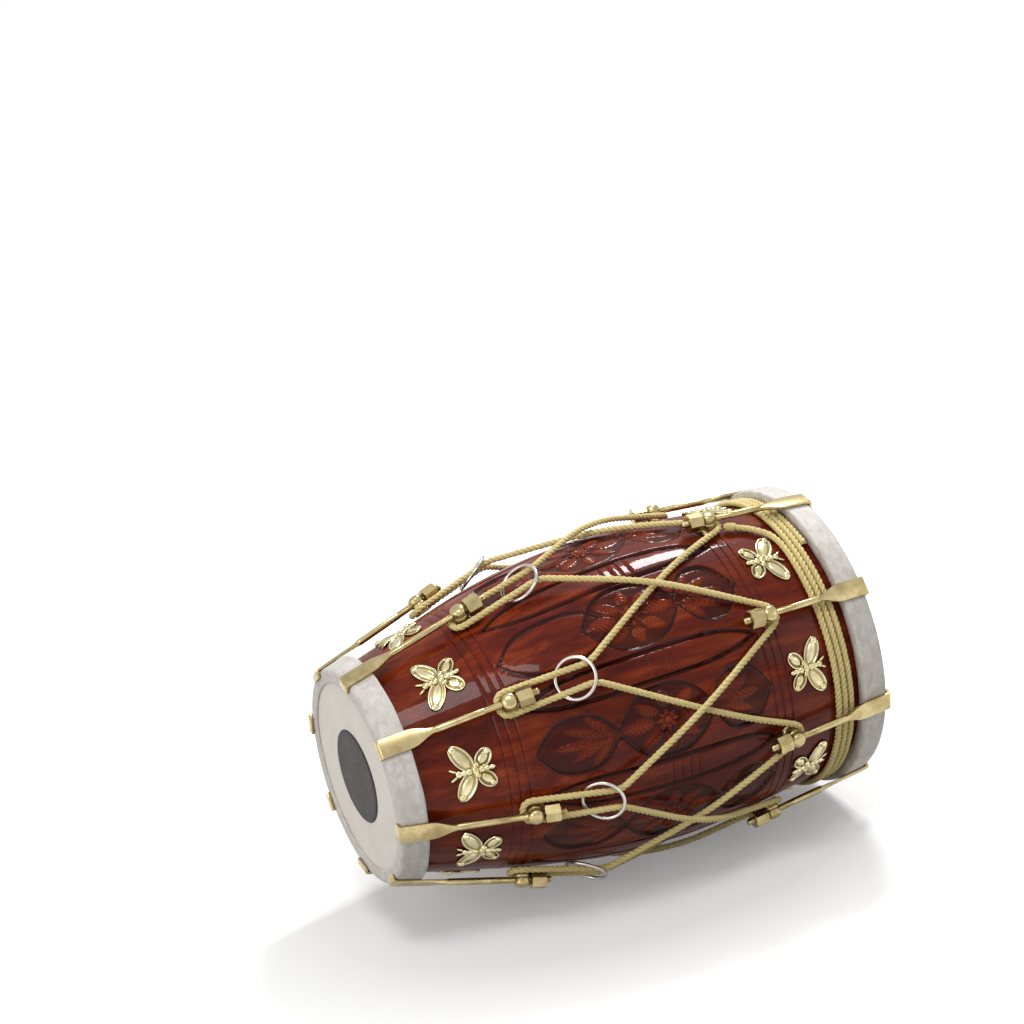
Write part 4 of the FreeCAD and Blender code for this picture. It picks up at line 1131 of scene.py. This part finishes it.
# %% Floor and world
floor_bm = bmesh.new()
bmesh.ops.create_grid(floor_bm, x_segments=1, y_segments=1, size=6.0)
floor_mesh = bpy.data.meshes.new("floor")
floor_bm.to_mesh(floor_mesh)
floor_bm.free()
floor = put_in_scene("floor", floor_mesh)
floor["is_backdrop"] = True
paper, tree, shader = new_finish("white_paper")
shown = in_sight(tree)
from_drum = node(tree, "VectorMath", {0: object_place(tree, (0.62, 1, 1))}, operation="LENGTH").outputs["Value"]
# Painted glow: weak close to the drum and strong further out, so it sets where the cast shadow fades to white.
glow = sums(tree, stretch(tree, from_drum, 0.16, 0.36, 0.20, 0.66), shown, "MULTIPLY")
feed(tree, shader, {"Base Color": mixed(tree, shown, (0.38, 0.37, 0.36), (0.78, 0.78, 0.78)), "Roughness": 0.9,
                    "Specular IOR Level": 0.0, "Emission Color": (1, 1, 1, 1), "Emission Strength": glow})
floor.data.materials.append(paper)

world = bpy.data.worlds.new("studio")
bpy.context.scene.world = world
world.use_nodes = True
sky = world.node_tree
sky.nodes.clear()
sky_out = sky.nodes.new("ShaderNodeOutputWorld")
sky_light = node(sky, "Background", {"Color": (1, 1, 1, 1)})
sky.links.new(stretch(sky, in_sight(sky), 0, 1, 0.42, 1.0), sky_light.inputs["Strength"])
sky.links.new(sky_light.outputs[0], sky_out.inputs["Surface"])


# %% Lamps
DRUM_MIDDLE = (0, 0, 0.14)


def soft_lamp(name, place, size, watts, shape="RECTANGLE", target=DRUM_MIDDLE):
    lamp = bpy.data.lights.new(name, "AREA")
    lamp.shape = shape
    lamp.size, lamp.size_y = size
    lamp.energy = watts
    holder = put_in_scene(name, lamp)
    holder.location = place
    holder.rotation_euler = (Vector(target) - Vector(place)).to_track_quat("-Z", "Y").to_euler()
    return holder


soft_lamp("key", (-0.6, -0.75, 1.95), (0.95, 0.5), 13, "ELLIPSE")
strip = soft_lamp("strip", (0.74, 0.67, 1.55), (0.64, 0.20), 24, target=(0.74, 0.67, 0))
strip.rotation_euler.z = math.radians(21)
soft_lamp("left", (-2.0, -0.7, 0.9), (1.3, 1.0), 13)
soft_lamp("right", (1.9, -1.5, 0.9), (1.2, 1.0), 3.5)

# %% Camera at the photograph's angle
camera_data = bpy.data.cameras.new("camera")
camera_data.sensor_width = 36.0
camera_data.lens = 99.4
camera = put_in_scene("camera", camera_data)
right, up, back = (0.8962, -0.4273, -0.1197), (0.2512, 0.2661, 0.9306), (-0.3658, -0.8640, 0.3458)
pose = Matrix((right, up, back)).transposed().to_4x4()
pose.translation = narrow_face + Vector((-0.6962, -2.0524, 1.0143))
camera.matrix_world = pose
bpy.context.scene.camera = camera
bpy.context.scene.view_settings.view_transform = "Standard"
print("camera at", [round(v, 3) for v in camera.location])

# %% Measure the finished drum and close
dressed_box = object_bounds()
growth = [round((b - a) * 1000, 1) for a, b in zip((*cad_box[0], *cad_box[1]), (*dressed_box[0], *dressed_box[1]))]
print("visual box against CAD box, mm:", growth)
